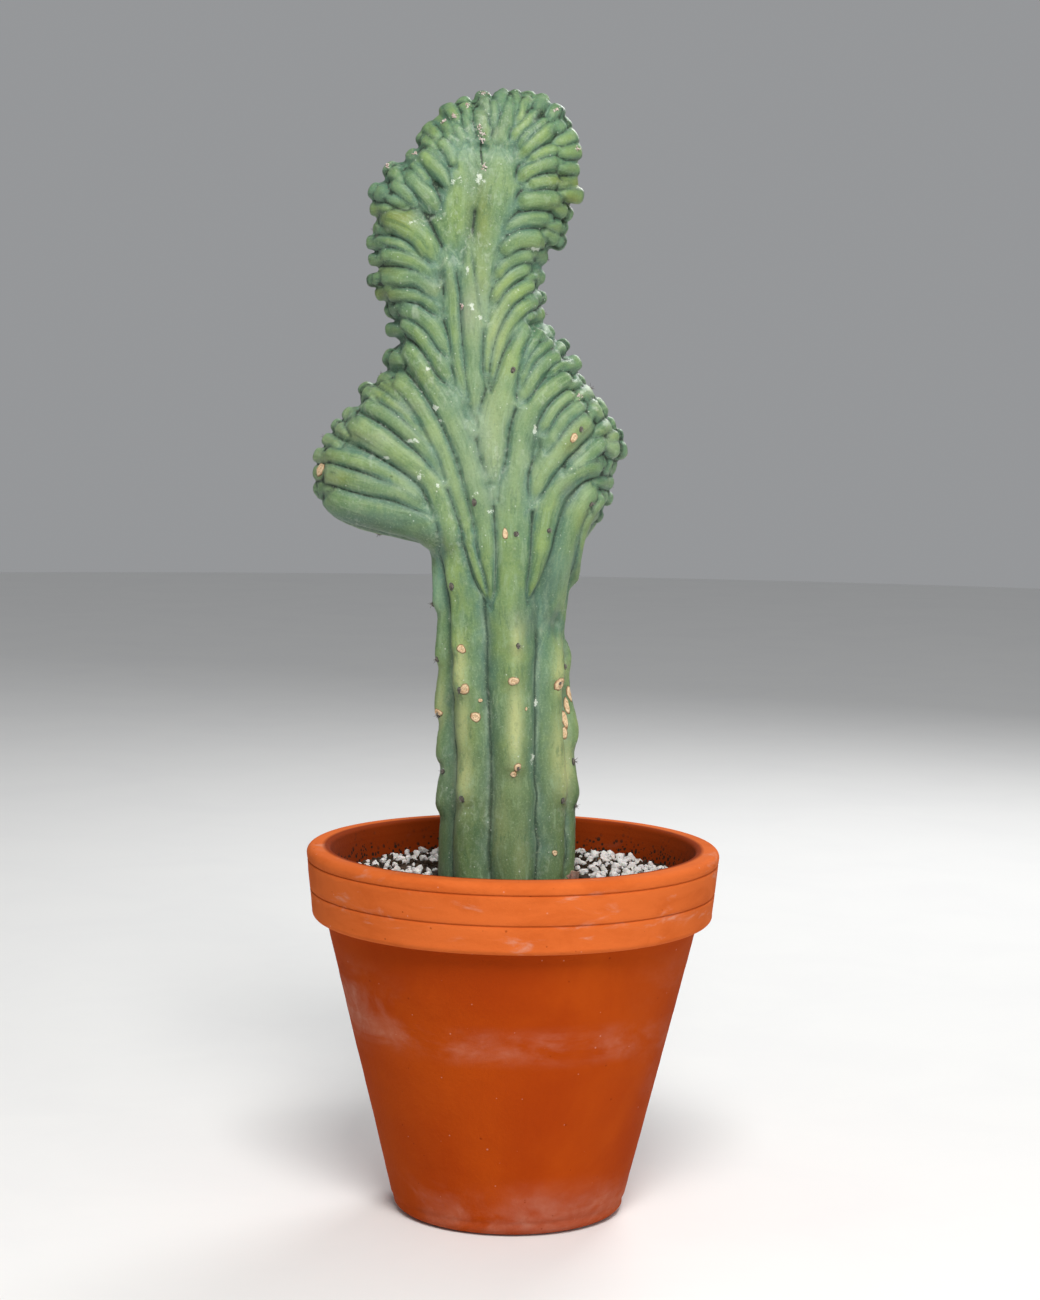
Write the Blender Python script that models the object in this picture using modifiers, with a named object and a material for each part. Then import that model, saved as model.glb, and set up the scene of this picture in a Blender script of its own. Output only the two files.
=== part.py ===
"""A crested blue candle cactus in its terracotta pot, as closed solids.

Metres, +Z up, the pot's underside on z = 0 and its axis on the Z axis. The crest's front faces -Y.
"""

import math
import random

import bmesh
import bpy
import numpy as np
from mathutils import Vector

MM = 0.001
GAP = 0.3 * MM  # between pieces that touch

# Driving dimensions of the pot
POT_HEIGHT = 0.1865
RIM_RADIUS = 0.105
RIM_INNER_RADIUS = 0.0928
BAND_HEIGHT = 0.036
BAND_LOWER_RADIUS = 0.102
BODY_TOP_RADIUS = 0.0946
BASE_RADIUS = 0.0585
BASE_ROUND = 0.007
WALL = 0.010
FLOOR = 0.012
DRAIN_RADIUS = 0.011
GROOVE_DEPTH = 0.0008
GROOVE_HALF = 0.0009
GROOVES_BELOW_TOP = (0.0064, 0.0215)
TURN_STEPS = 48

# Driving dimensions of the soil and the perlite
SOIL_TOP = 0.1700
STEM_HOLE_RADIUS = 0.0405
STEM_HOLE_FLOOR = 0.145
STEM_X = -0.0023
PERLITE_PITCH = 0.0066
PERLITE_RADIUS = (0.0040, 0.0051)
PERLITE_RING = (0.0465, 0.0820)
PERLITE_FRONT, PERLITE_BACK = -0.067, 0.050  # none is laid farther forward or back
PERLITE_SWAY = 0.007  # the edge of the scatter wanders by this much
PERLITE_LEFT_OUT = 0.13  # of those beside the stem; in front of it they close ranks
PERLITE_OVERLAP = 0.83  # crumbs farther apart than this, in their two radii, don't join
SOIL_LUMPS = 46
SOIL_LUMP_RADIUS = (0.0016, 0.0030)

# Driving dimensions of the cactus

# The camera of the photograph. Points of the ribs are measured, in millimetres, on the upright
# plane y = 0 as that camera sees them, and pulled along the line of sight onto the plant's skin.
EYE = Vector((0.0, -1.503, 0.446))

# The core inside the ribs: height, left edge, thickest place, right edge, half thickness.
CORE = (
    (145.3, -31.0, -2.3, 26.4, 28.7),
    (175, -31.4, -2.3, 26.8, 29.0),
    (210, -31.5, -2.4, 26.7, 29.0),
    (245, -32.5, -4.5, 25.0, 28.7),
    (270, -34.0, -7.0, 20.5, 28.0),
    (298, -35.5, -8.5, 16.5, 27.0),
    (314, -38.0, -8.5, 19.0, 27.5),
    (335, -38.5, -8.5, 26.0, 28.5),
    (342.5, -43.0, -9.0, 29.5, 29.0),
    (345.5, -56.0, -9.5, 31.5, 28.5),
    (348, -73.0, -10.0, 33.5, 28.0),
    (351.5, -86.0, -11.0, 36.0, 28.0),
    (356, -95.0, -12.5, 39.0, 27.5),
    (363, -100.0, -14.0, 42.0, 27.0),
    (374, -101.0, -16.0, 44.0, 26.5),
    (384, -98.5, -17.0, 47.0, 26.0),
    (396, -90.5, -18.0, 46.0, 25.5),
    (406, -83.0, -18.5, 41.0, 25.0),
    (414, -76.0, -19.0, 36.0, 24.0),
    (424, -65.5, -20.0, 28.0, 22.5),
    (436, -61.0, -22.0, 20.5, 21.5),
    (450, -62.0, -23.5, 10.0, 20.0),
    (466, -69.0, -25.0, 6.8, 19.0),
    (484, -72.5, -26.0, 10.5, 18.5),
    (500, -72.0, -25.5, 17.5, 18.0),
    (513, -72.0, -25.0, 23.0, 17.5),
    (524, -63.5, -23.5, 23.0, 16.0),
    (535, -52.5, -21.0, 22.0, 14.5),
    (545, -43.5, -18.5, 18.5, 12.5),
    (553, -34.0, -15.0, 12.5, 9.5),
    (558.5, -22.0, -10.5, 1.0, 4.5),
)
CORE_SIDES = 18
ROUND_BELOW, FLAT_ABOVE = 320, 450  # the core's section goes from an ellipse to a fuller one

# Ribs of the front, from the free tip to the root: half width, height over the core, then (x, z)
# points. A third number at a point is the half width there. The root of each fades into the
# core, or into the rib that its last points overlap.
UPPER_LEFT_RIBS = (
    (4.6, 4.2, ((-22.4, 557.5), (-21.3, 551), (-19.2, 540))),
    (3.0, 3.6, ((-30, 554.5), (-28.3, 548), (-25.2, 540))),
    (3.6, 4.0, ((-36, 549.5), (-32.9, 544.5), (-28.3, 538))),
    (3.0, 3.8, ((-39.8, 545), (-35.9, 541), (-31, 535))),
    (4.2, 4.6, ((-45, 541), (-37.8, 536), (-32.6, 524))),
    (2.6, 3.6, ((-49, 537), (-43.2, 533), (-37.5, 526))),
    (5.0, 5.0, ((-54, 535.5), (-45.7, 529), (-38.5, 521), (-35, 511))),
    (2.8, 3.6, ((-57.5, 530), (-51.6, 524), (-45.6, 516))),
    (5.0, 5.0, ((-60, 525.5), (-53, 518), (-46, 511), (-40, 502))),
    (4.0, 4.4, ((-67.5, 520.5), (-61, 515.5), (-53, 508))),
    (3.2, 4.0, ((-71, 513), (-64.4, 510), (-56.5, 506.5))),
    (7.0, 6.0, ((-73.5, 501.5), (-61.7, 498.5), (-51.6, 492), (-40.8, 477.5))),
    (3.2, 4.0, ((-76, 489.5), (-66.6, 489.5), (-58.5, 487), (-48, 479))),
    (5.0, 4.8, ((-74.5, 482), (-62.4, 482), (-52.3, 478.5), (-41, 468))),
    (5.4, 5.2, ((-74.5, 471.5), (-62.2, 472), (-51.2, 471), (-39, 458))),
    (4.0, 4.4, ((-70, 463), (-58.6, 463), (-49, 461.5), (-39, 452))),
    (5.0, 5.0, ((-64, 457), (-51.9, 453), (-43.8, 446), (-34, 430))),
    (4.6, 4.8, ((-63, 450), (-53.8, 445.5), (-46.7, 438), (-32, 416))),
)
UPPER_RIGHT_RIBS = (
    (3.5, 3.8, ((-15.4, 559.5), (-14.8, 554.5), (-15.2, 545))),
    (4.8, 4.4, ((-6.9, 560), (-8.3, 553), (-10.7, 546), (-13.3, 536))),
    (3.6, 3.8, ((0.8, 560), (-0.8, 555), (-5, 546.5))),
    (3.8, 4.2, ((8.5, 557), (2.8, 551), (-3.2, 544.5), (-7.2, 538))),
    (2.8, 3.8, ((13, 552), (6.8, 547.5), (0.9, 542.5), (-4.2, 534.5))),
    (4.3, 4.8, ((18, 550), (10.9, 544.5), (3.4, 538.5), (-4, 530))),
    (3.4, 4.2, ((19, 537), (10, 534.5), (0, 529))),
    (4.2, 4.8, ((20, 530.5), (10.6, 529), (3.1, 525.5), (-5, 519))),
    (3.9, 4.4, ((20, 520), (10.8, 520.5), (0, 517.5))),
    (5.2, 5.2, ((21.5, 510), (12.4, 511), (3.3, 511), (-6, 508))),
    (4.4, 4.4, ((16, 501), (4.5, 501.5), (-4, 499.5), (-12.5, 492))),
    (5.8, 6.0, ((14, 489.5), (3.6, 491.5), (-4.3, 490), (-14, 481))),
    (4.2, 4.6, ((8.5, 484), (-0.7, 483), (-8.2, 479), (-16.5, 469))),
    (4.0, 4.6, ((5.5, 477.5), (-3.5, 474), (-10.5, 467.5), (-16.8, 456))),
    (4.4, 4.8, ((9, 470.5), (-0.4, 466), (-7.4, 460), (-14, 447))),
    (4.2, 4.6, ((11, 463), (2.2, 458.5), (-4.2, 452), (-10.5, 441))),
)
LOWER_LEFT_RIBS = (
    (5.6, 5.8, ((-62, 437.5), (-53.5, 431), (-46.3, 421), (-34, 400.5), (-23.5, 373),
                (-15.8, 333, 5), (-12.8, 305, 2))),
    (5.3, 5.6, ((-66, 423), (-55.7, 414.5), (-46, 400), (-36.6, 380.5), (-28.2, 355.5, 4.2),
                (-20.8, 327.5, 3), (-14.5, 308, 1.6))),
    (2.9, 3.8, ((-72, 421), (-63.8, 415), (-56.7, 407), (-46.5, 394))),
    (3.9, 4.4, ((-77.5, 417.5), (-67.2, 411.5), (-57.1, 403.5), (-41, 385))),
    (4.8, 5.2, ((-81, 411), (-69.6, 405), (-59, 397.5), (-45, 384), (-36, 368))),
    (6.3, 6.4, ((-89, 402.5), (-77.1, 395.5), (-62.9, 386), (-44.6, 371), (-34.2, 350, 7),
                (-30, 332, 7.5), (-26.5, 312, 8), (-23.2, 286, 8.4), (-20.7, 261, 8.6),
                (-19.2, 230, 8.6), (-18.6, 184.5, 8.6), (-18.6, 148, 8.6))),
    (4.6, 5.0, ((-100.8, 384.5), (-88.9, 382), (-75.8, 378), (-59.6, 369.5), (-42, 355))),
    (5.8, 5.8, ((-101.2, 376), (-88.7, 371), (-74.6, 367.5), (-58.5, 364), (-40, 352))),
    (6.8, 5.6, ((-99.5, 363), (-84.5, 357.5), (-66.9, 354), (-52, 350.5), (-43.5, 343),
                (-41, 332, 7), (-39, 312, 8), (-36.8, 286, 8), (-36, 261, 8), (-34, 230, 8),
                (-33.2, 184, 8), (-33, 148, 8))),
)
LOWER_RIGHT_RIBS = (
    (2.8, 3.8, ((12.5, 448.5), (7.5, 441.5), (2.6, 433), (-1.5, 420))),
    (3.3, 4.2, ((18, 443.5), (11, 438), (4.6, 430.5), (-1, 415))),
    (4.3, 4.8, ((22, 437), (14.7, 432.5), (7.3, 424.5), (-1, 408))),
    (2.6, 3.8, ((26.5, 432), (20.2, 429.5), (13, 423.5))),
    (5.0, 5.6, ((28, 425.8), (19.8, 421.5), (10.4, 413), (2.2, 399.5), (-1.5, 377, 5.5),
                (-2.9, 352, 7.5), (-2.6, 312, 9.3), (-0.8, 286, 9.6), (-0.7, 261, 9.6),
                (-0.3, 230, 9.6), (-0.1, 184.5, 9.6), (0, 148, 9.6))),
    (3.4, 4.0, ((28.5, 416.5), (22.5, 413), (16.6, 406.5), (10, 393))),
    (4.3, 4.6, ((34, 412), (26.6, 406), (20.2, 399), (12, 384))),
    (5.3, 5.8, ((38, 406), (30.2, 399), (21.4, 389), (12, 374.5), (6.5, 358))),
    (4.4, 4.6, ((46, 393), (39.4, 388), (33, 382), (21, 374))),
    (5.3, 5.8, ((46, 379.5), (35.6, 379), (26.1, 374), (17.2, 363.5), (12.6, 342, 4.5),
                (8, 308, 2))),
    (5.5, 5.8, ((42, 368.5), (34.4, 361), (28.5, 350), (23, 332, 7), (19, 312, 8),
                (17.2, 286, 8.2), (18.4, 261, 8.2), (18.2, 230, 8.2), (17.3, 184.5, 8.2),
                (17, 148, 8.2))),
    (4.0, 4.6, ((46, 365), (39.7, 357), (33.5, 347), (28, 333, 6), (24, 312, 7.5),
                (24.5, 286, 7.8), (26.5, 261, 7.8), (28.8, 230, 7.8), (30, 184, 7.8),
                (30, 148, 7.8))),
)
MIDDLE_RIBS = (
    (10.5, 4.2, ((-27.2, 545), (-31.6, 527.5), (-33, 514), (-33, 495.5), (-30.5, 478, 7))),
    (11.0, 4.4, ((-13.6, 543), (-11.4, 525.5), (-13.1, 509), (-17.2, 489.5), (-19.5, 473, 8),
                 (-17.3, 450, 5))),
    (6.4, 6.0, ((3.2, 454), (-2.5, 438.5), (-7.7, 421), (-12, 402.5), (-12.7, 385),
                (-10.9, 360, 3))),
    (5.8, 5.4, ((-27.3, 492), (-26, 469.5), (-25.3, 452.5), (-24, 432.5), (-23.7, 417.5),
                (-21.5, 396, 3))),
    (4.0, 5.0, ((-38.3, 486), (-35, 467), (-33.7, 450), (-32, 434.5), (-28.8, 419.5),
                (-23.5, 402, 2.5))),
)
STEM_BACK_ANGLES = (92, 120, 150, 180, 210, 240, 269)  # degrees from the front, over the right
STEM_BACK_MARKS = (352, 330, 300, 270, 240, 210, 180, 148)
STEM_RIB_HALF = 8.6
STEM_RIB_HEIGHT = 7.6
STEM_TOP = 330  # below this the ribs swell over each areole
STEM_HALF_WIDEST = 30
STEM_RIB_FOOT = 160  # a rib that reaches lower than this runs on into the soil
FANS_START, FANS_WIDEST = 340, 420
TUBERCLE_PITCH = 24.0
TUBERCLE_SWELL = 0.06
OVERLAP = 1.14  # how much wider a rib is than its half of the room, so that a crease is narrow

# Knobs of the crest's growing edge, as seen from the front: radius, x, z.
LEFT_KNOBS = (
    (3.5, -21, 561), (3.5, -30.4, 558), (4, -37.9, 554.5), (3.8, -41.2, 548.5), (4, -46.7, 545),
    (3.5, -50.2, 540.5), (3, -55.6, 532.5), (4, -66, 525), (4, -73.4, 514.2), (3, -73.5, 505.5),
    (2.8, -72, 495.5), (3, -75.2, 489), (2.8, -74.2, 480.5), (3, -74.8, 470.2),
    (3, -70.4, 463.5), (3, -65.7, 455.5), (3, -65, 446), (4, -65.3, 432), (3, -68.6, 421.8),
    (3.5, -77.4, 416.5), (3, -85.8, 404), (3, -91.5, 398), (2.8, -96.2, 391), (3.3, -100.2, 383),
    (3, -100.6, 374.5), (3, -100.4, 366),
)
RIGHT_KNOBS = (
    (3.8, -11.5, 561.5), (3, -4.5, 561.8), (3.5, 1.8, 561.6), (4, 8.6, 558.8), (3.8, 16, 555),
    (3.5, 20.2, 548.5), (3.8, 23.4, 542), (3.8, 25.4, 535), (3.3, 24.8, 526.5), (3.3, 24, 520),
    (3.5, 27, 513.5), (3.2, 21.8, 504.5), (3.2, 19.4, 497.5), (3.8, 18.2, 490.5),
    (2.8, 10.6, 482.5), (3, 9.2, 473), (3, 9.8, 463), (2.8, 9.4, 455), (3, 14, 446.5),
    (3, 21.5, 440), (3.5, 27, 431), (2.8, 29.8, 422), (3, 33.5, 417), (4, 39.6, 408.5),
    (3.2, 45, 401), (3, 49.4, 395.5), (4.3, 50.2, 387.5), (3.5, 44.6, 379), (3, 45, 371.5),
    (3.2, 44.4, 363.5), (3, 39.6, 354.5),
)

SKIN_VOXEL = 1.2 * MM
SKIN_TRIANGLES = 9000
PERLITE_VOXEL = 0.5 * MM
PERLITE_TRIANGLES = 2500
RIB_SIDES = 8
RIB_SPACING = 7.0
RIB_SINK = 2.0
RISE_LENGTH = 25.0
FULL_SIDE = 2 / 2.3  # a rib's section is a little fuller than an ellipse
SPINE_LENGTH = 3.2
SPINE_BASE = 0.45
SPINE_FOOT = 1.6
KNOB_REACH_LEAST = 24.0  # how far a knob's rib runs inwards over the back, at the least
BACK_SHIFT = 3.0  # how far a back rib may stand from the front rib that it answers
SEED = 7


# Scene and materials
def clear_scene():
    for obj in list(bpy.data.objects):
        bpy.data.objects.remove(obj, do_unlink=True)


def collection(name, cutters=False):
    made = bpy.data.collections.new(name)
    bpy.context.scene.collection.children.link(made)
    made.hide_render = cutters
    return made


def material(name, colour, roughness):
    made = bpy.data.materials.new(name)
    made.use_nodes = True
    made.diffuse_color = (*colour, 1.0)
    shader = made.node_tree.nodes["Principled BSDF"]
    shader.inputs["Base Color"].default_value = (*colour, 1.0)
    shader.inputs["Roughness"].default_value = roughness
    shader.inputs["Metallic"].default_value = 0.0
    return made


def mesh_object(name, points, faces, where, finish=None, smooth=True):
    mesh = bpy.data.meshes.new(name)
    mesh.from_pydata([tuple(point) for point in points], [], faces)
    mesh.update()
    if finish:
        mesh.materials.append(finish)
    if smooth:
        mesh.polygons.foreach_set("use_smooth", [True] * len(mesh.polygons))
    obj = bpy.data.objects.new(name, mesh)
    where.objects.link(obj)
    return obj


def apply_modifiers(obj):
    graph = bpy.context.evaluated_depsgraph_get()
    mesh = bpy.data.meshes.new_from_object(obj.evaluated_get(graph))
    obj.modifiers.clear()
    obj.data = mesh


def turned(name, profile, where, finish, steps=TURN_STEPS):
    """A closed profile of (radius, z), down its outer side first, turned about Z."""
    points = [(radius, 0.0, z) for radius, z in profile]
    mesh = bpy.data.meshes.new(name)
    edges = [(i, (i + 1) % len(points)) for i in range(len(points))]
    if profile[0][0] == 0.0 and profile[-1][0] == 0.0:
        edges.pop()
    mesh.from_pydata(points, edges, [])
    mesh.materials.append(finish)
    obj = bpy.data.objects.new(name, mesh)
    where.objects.link(obj)
    screw = obj.modifiers.new("Turn", "SCREW")
    screw.steps = steps
    screw.render_steps = steps
    screw.use_merge_vertices = True
    screw.merge_threshold = 0.00001
    screw.use_smooth_shade = True
    apply_modifiers(obj)
    return obj


# The pot
def groove_points(z, radius):
    """A shallow scored line in the band, about height z."""
    return [
        (radius, z + GROOVE_HALF),
        (radius - GROOVE_DEPTH, z),
        (radius, z - GROOVE_HALF),
    ]


def pot_outline():
    top = POT_HEIGHT
    band_foot = top - BAND_HEIGHT
    upper, lower = (top - below for below in GROOVES_BELOW_TOP)

    def band_radius(z):
        along = (top - z) / BAND_HEIGHT
        return RIM_RADIUS + (BAND_LOWER_RADIUS - RIM_RADIUS) * along

    outer = [
        (RIM_RADIUS - 0.0032, top),
        (RIM_RADIUS - 0.0008, top - 0.0012),
        (RIM_RADIUS, top - 0.0034),
    ]
    outer += groove_points(upper, band_radius(upper))
    outer += groove_points(lower, band_radius(lower))
    outer += [
        (BAND_LOWER_RADIUS, band_foot + 0.004),
        (BAND_LOWER_RADIUS - 0.0016, band_foot + 0.0008),
        (BODY_TOP_RADIUS + 0.001, band_foot),
        (BODY_TOP_RADIUS, band_foot - 0.0014),
    ]
    for turn in (0.0, 45.0, 90.0):
        angle = math.radians(turn)
        outer.append((
            BASE_RADIUS - BASE_ROUND + BASE_ROUND * math.cos(angle),
            BASE_ROUND - BASE_ROUND * math.sin(angle),
        ))
    return outer


def inner_radius(z):
    """The inner wall's radius at height z: the outside's slope, one wall inwards."""
    shoulder = POT_HEIGHT - BAND_HEIGHT
    wall_top = BODY_TOP_RADIUS - WALL
    wall_foot = BASE_RADIUS - WALL
    if z >= shoulder:
        along = (z - shoulder) / BAND_HEIGHT
        return wall_top + 0.002 + (RIM_INNER_RADIUS - wall_top - 0.002) * along
    return wall_foot + (wall_top - wall_foot) * (z - FLOOR) / (shoulder - FLOOR)


def make_pot(where):
    clay = material("terracotta", (0.62, 0.21, 0.075), 0.86)
    shoulder = POT_HEIGHT - BAND_HEIGHT
    inner = [
        (DRAIN_RADIUS, 0.0),
        (DRAIN_RADIUS, FLOOR),
        (inner_radius(FLOOR) - 0.006, FLOOR),
        (inner_radius(FLOOR + 0.006), FLOOR + 0.006),
        (inner_radius(shoulder - 0.004), shoulder - 0.004),
        (inner_radius(shoulder + 0.004), shoulder + 0.004),
        (RIM_INNER_RADIUS - 0.0006, POT_HEIGHT - 0.004),
        (RIM_INNER_RADIUS + 0.0004, POT_HEIGHT - 0.0014),
        (RIM_INNER_RADIUS + 0.0026, POT_HEIGHT),
    ]
    return turned("pot", pot_outline() + inner, where, clay)


# The soil
def make_soil(where, cutters):
    earth = material("soil", (0.030, 0.017, 0.009), 0.95)
    wall = [SOIL_TOP - 0.003, POT_HEIGHT - BAND_HEIGHT + 0.004, POT_HEIGHT - BAND_HEIGHT - 0.004]
    profile = [(0.0, SOIL_TOP), (0.070, SOIL_TOP), (inner_radius(SOIL_TOP) - 0.003, SOIL_TOP)]
    profile += [(inner_radius(z) - GAP, z) for z in wall]
    profile += [
        (inner_radius(FLOOR + 0.006) - GAP, FLOOR + 0.006 + GAP),
        (inner_radius(FLOOR) - 0.006 - GAP, FLOOR + GAP),
        (0.0, FLOOR + GAP),
    ]
    soil = turned("soil_body", profile, where, earth)

    steps = 40
    ring = [
        (
            STEM_X + STEM_HOLE_RADIUS * math.cos(math.tau * i / steps),
            STEM_HOLE_RADIUS * math.sin(math.tau * i / steps),
        )
        for i in range(steps)
    ]
    points = [(x, y, STEM_HOLE_FLOOR) for x, y in ring]
    points += [(x, y, SOIL_TOP + 0.02) for x, y in ring]
    faces = [list(range(steps))[::-1], list(range(steps, 2 * steps))]
    for i in range(steps):
        j = (i + 1) % steps
        faces.append([i, j, steps + j, steps + i])
    hole = mesh_object("stem_hole", points, faces, cutters, smooth=False)
    hole.display_type = "WIRE"
    cut = soil.modifiers.new("Stem hole", "BOOLEAN")
    cut.operation = "DIFFERENCE"
    cut.solver = "EXACT"
    cut.object = hole
    apply_modifiers(soil)

    points = [vertex.co.copy() for vertex in soil.data.vertices]
    faces = [list(polygon.vertices) for polygon in soil.data.polygons]
    bpy.data.objects.remove(soil, do_unlink=True)
    return union_of("soil", soil_lumps(), (points, faces), where, earth)


def soil_lumps():
    """Lumps of earth, half sunk where no perlite lies."""
    rng = random.Random(SEED + 4)
    perlite = perlite_spots()
    reach = inner_radius(SOIL_TOP)
    lumps = []
    while len(lumps) < SOIL_LUMPS:
        turn, away = rng.uniform(0, math.tau), rng.uniform(STEM_HOLE_RADIUS, reach) + 0.001
        x, y = STEM_X + away * math.cos(turn), away * math.sin(turn)
        radius = rng.uniform(*SOIL_LUMP_RADIUS)
        clear = all(math.hypot(px - x, py - y) > 1.5 * (pr + radius) for px, py, pr in perlite)
        inside = math.hypot(x, y) < reach - 1.6 * radius
        beside = math.hypot(x - STEM_X, y) > STEM_HOLE_RADIUS + 1.6 * radius
        if clear and inside and beside:
            lumps.append(crumb(rng, x, y, radius, SOIL_TOP - 0.6 * radius))
    return lumps


# Small closed shapes, and joining them
ICO_POINTS = [(0.0, 0.0, 1.0)]
ICO_POINTS += [
    (
        math.cos(math.radians(72 * k)) * 0.894,
        math.sin(math.radians(72 * k)) * 0.894,
        0.447,
    )
    for k in range(5)
]
ICO_POINTS += [
    (
        math.cos(math.radians(72 * k + 36)) * 0.894,
        math.sin(math.radians(72 * k + 36)) * 0.894,
        -0.447,
    )
    for k in range(5)
]
ICO_POINTS += [(0.0, 0.0, -1.0)]
ICO_FACES = [[0, 1 + k, 1 + (k + 1) % 5] for k in range(5)]
ICO_FACES += [[1 + k, 6 + k, 1 + (k + 1) % 5] for k in range(5)]
ICO_FACES += [[1 + (k + 1) % 5, 6 + k, 6 + (k + 1) % 5] for k in range(5)]
ICO_FACES += [[11, 6 + (k + 1) % 5, 6 + k] for k in range(5)]


def crumb(rng, x, y, radius, floor):
    """An uneven 20-sided lump with its underside pressed flat on the floor height."""
    stretch = [rng.uniform(0.8, 1.25), rng.uniform(0.8, 1.25), rng.uniform(0.75, 1.0)]
    turn = rng.uniform(0, math.tau)
    centre_z = floor + 0.55 * radius
    points = []
    for px, py, pz in ICO_POINTS:
        swell = radius * rng.uniform(0.85, 1.15)
        qx, qy, qz = px * stretch[0] * swell, py * stretch[1] * swell, pz * stretch[2] * swell
        points.append((
            x + qx * math.cos(turn) - qy * math.sin(turn),
            y + qx * math.sin(turn) + qy * math.cos(turn),
            max(centre_z + qz, floor + rng.uniform(0.0, 0.15) * MM),
        ))
    return points, [list(face) for face in ICO_FACES]


def fill_pockets(mesh):
    """Keeps the outer skin and drops the small closed shells that a union leaves inside it."""
    work = bmesh.new()
    work.from_mesh(mesh)
    waiting = set(work.verts)
    islands = []
    while waiting:
        island = [waiting.pop()]
        for vertex in island:
            for edge in vertex.link_edges:
                other = edge.other_vert(vertex)
                if other in waiting:
                    waiting.remove(other)
                    island.append(other)
        islands.append(island)
    islands.sort(key=len)
    for island in islands[:-1]:
        bmesh.ops.delete(work, geom=island, context="VERTS")
    work.to_mesh(mesh)
    work.free()


def triangle_count(mesh):
    return sum(len(polygon.vertices) - 2 for polygon in mesh.polygons)


def thinned(obj, triangles, voxel=0.0):
    """Fewer, better-shaped faces on the same skin; a voxel size first evens the mesh out."""
    if voxel:
        remesh = obj.modifiers.new("Even", "REMESH")
        remesh.mode = "VOXEL"
        remesh.voxel_size = voxel
        apply_modifiers(obj)
        fill_pockets(obj.data)
    fewer = obj.modifiers.new("Fewer", "DECIMATE")
    fewer.ratio = min(1.0, triangles / triangle_count(obj.data))
    apply_modifiers(obj)
    fill_pockets(obj.data)


def union_of(name, shapes, first, where, finish):
    """One closed mesh from overlapping closed shapes, by a single Boolean union."""
    holder = collection(name + "_pieces", cutters=True)
    for index, (points, faces) in enumerate(shapes):
        piece = mesh_object(f"{name}_piece_{index}", points, faces, holder)
        piece.display_type = "WIRE"
    body = mesh_object(name, first[0], first[1], where, finish)
    join = body.modifiers.new("Join", "BOOLEAN")
    join.operation = "UNION"
    join.operand_type = "COLLECTION"
    join.collection = holder
    join.solver = "MANIFOLD"
    apply_modifiers(body)
    for piece in list(holder.objects):
        bpy.data.objects.remove(piece, do_unlink=True)
    bpy.data.collections.remove(holder)
    fill_pockets(body.data)
    dress(body, finish)
    return body


def dress(body, finish):
    body.data.materials.clear()
    body.data.materials.append(finish)
    body.data.polygons.foreach_set("use_smooth", [True] * len(body.data.polygons))


def perlite_spots():
    """Crumbs on an uneven grid at the front and sides of the stem, all in one chain of overlaps."""
    rng = random.Random(SEED)
    inner, outer = PERLITE_RING
    spots = []
    rows = math.ceil(outer / PERLITE_PITCH)
    for row in range(-rows, rows + 1):
        for column in range(-rows, rows + 1):
            x = (column + 0.5 * (row % 2) + rng.uniform(-0.12, 0.12)) * PERLITE_PITCH
            y = (row * 0.87 + rng.uniform(-0.12, 0.12)) * PERLITE_PITCH
            inside = inner < math.hypot(x - STEM_X, y) and math.hypot(x, y) < outer
            sway = PERLITE_SWAY * math.sin(x / PERLITE_SWAY)
            inside = inside and PERLITE_FRONT < y + sway < PERLITE_BACK
            left_out = PERLITE_LEFT_OUT if y > 0.0 else 0.0
            if inside and rng.random() > left_out:
                spots.append((x, y, rng.uniform(*PERLITE_RADIUS)))
    longest = []
    while spots:
        chain = [spots.pop()]
        for x, y, radius in chain:
            near = [
                spot for spot in spots
                if math.hypot(spot[0] - x, spot[1] - y) < PERLITE_OVERLAP * (spot[2] + radius)
            ]
            chain += near
            spots = [spot for spot in spots if spot not in near]
        longest = max(longest, chain, key=len)
    return longest


def make_perlite(where):
    rng = random.Random(SEED + 3)
    white = material("perlite", (0.68, 0.65, 0.62), 0.9)
    shapes = [crumb(rng, x, y, radius, SOIL_TOP + GAP) for x, y, radius in perlite_spots()]
    body = union_of("perlite", shapes[1:], shapes[0], where, white)
    thinned(body, PERLITE_TRIANGLES, PERLITE_VOXEL)
    dress(body, white)
    return body


# The plant
CORE_ROWS = np.array(CORE) * MM


def core_at(z):
    """Left edge, thickest place, right edge and half thickness of the core at height z."""
    return [float(np.interp(z, CORE_ROWS[:, 0], CORE_ROWS[:, k])) for k in (1, 2, 3, 4)]


def fullness(z):
    along = (z / MM - ROUND_BELOW) / (FLAT_ABOVE - ROUND_BELOW)
    along = min(max(along, 0.0), 1.0)
    return 2.0 + 0.7 * along


def level(x, y, z):
    """Below 1 inside the core, 1 on its skin, more outside."""
    left, ridge, right, thick = core_at(z)
    half = right - ridge if x > ridge else ridge - left
    power = fullness(z)
    return (abs(x - ridge) / half) ** power + (abs(y) / thick) ** power


def outward(x, y, z):
    """The direction straight out of the core's skin."""
    step = 0.2 * MM
    slope = Vector((
        level(x + step, y, z) - level(x - step, y, z),
        level(x, y + step, z) - level(x, y - step, z),
        level(x, y, z + step) - level(x, y, z - step),
    ))
    return slope.normalized()


def depth_at(x, z):
    """How far the core's skin stands from the plane y = 0."""
    left, ridge, right, thick = core_at(z)
    half = right - ridge if x > ridge else ridge - left
    power = fullness(z)
    across = min(abs(x - ridge) / half, 1.0)
    return thick * (1.0 - across ** power) ** (1.0 / power)


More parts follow.
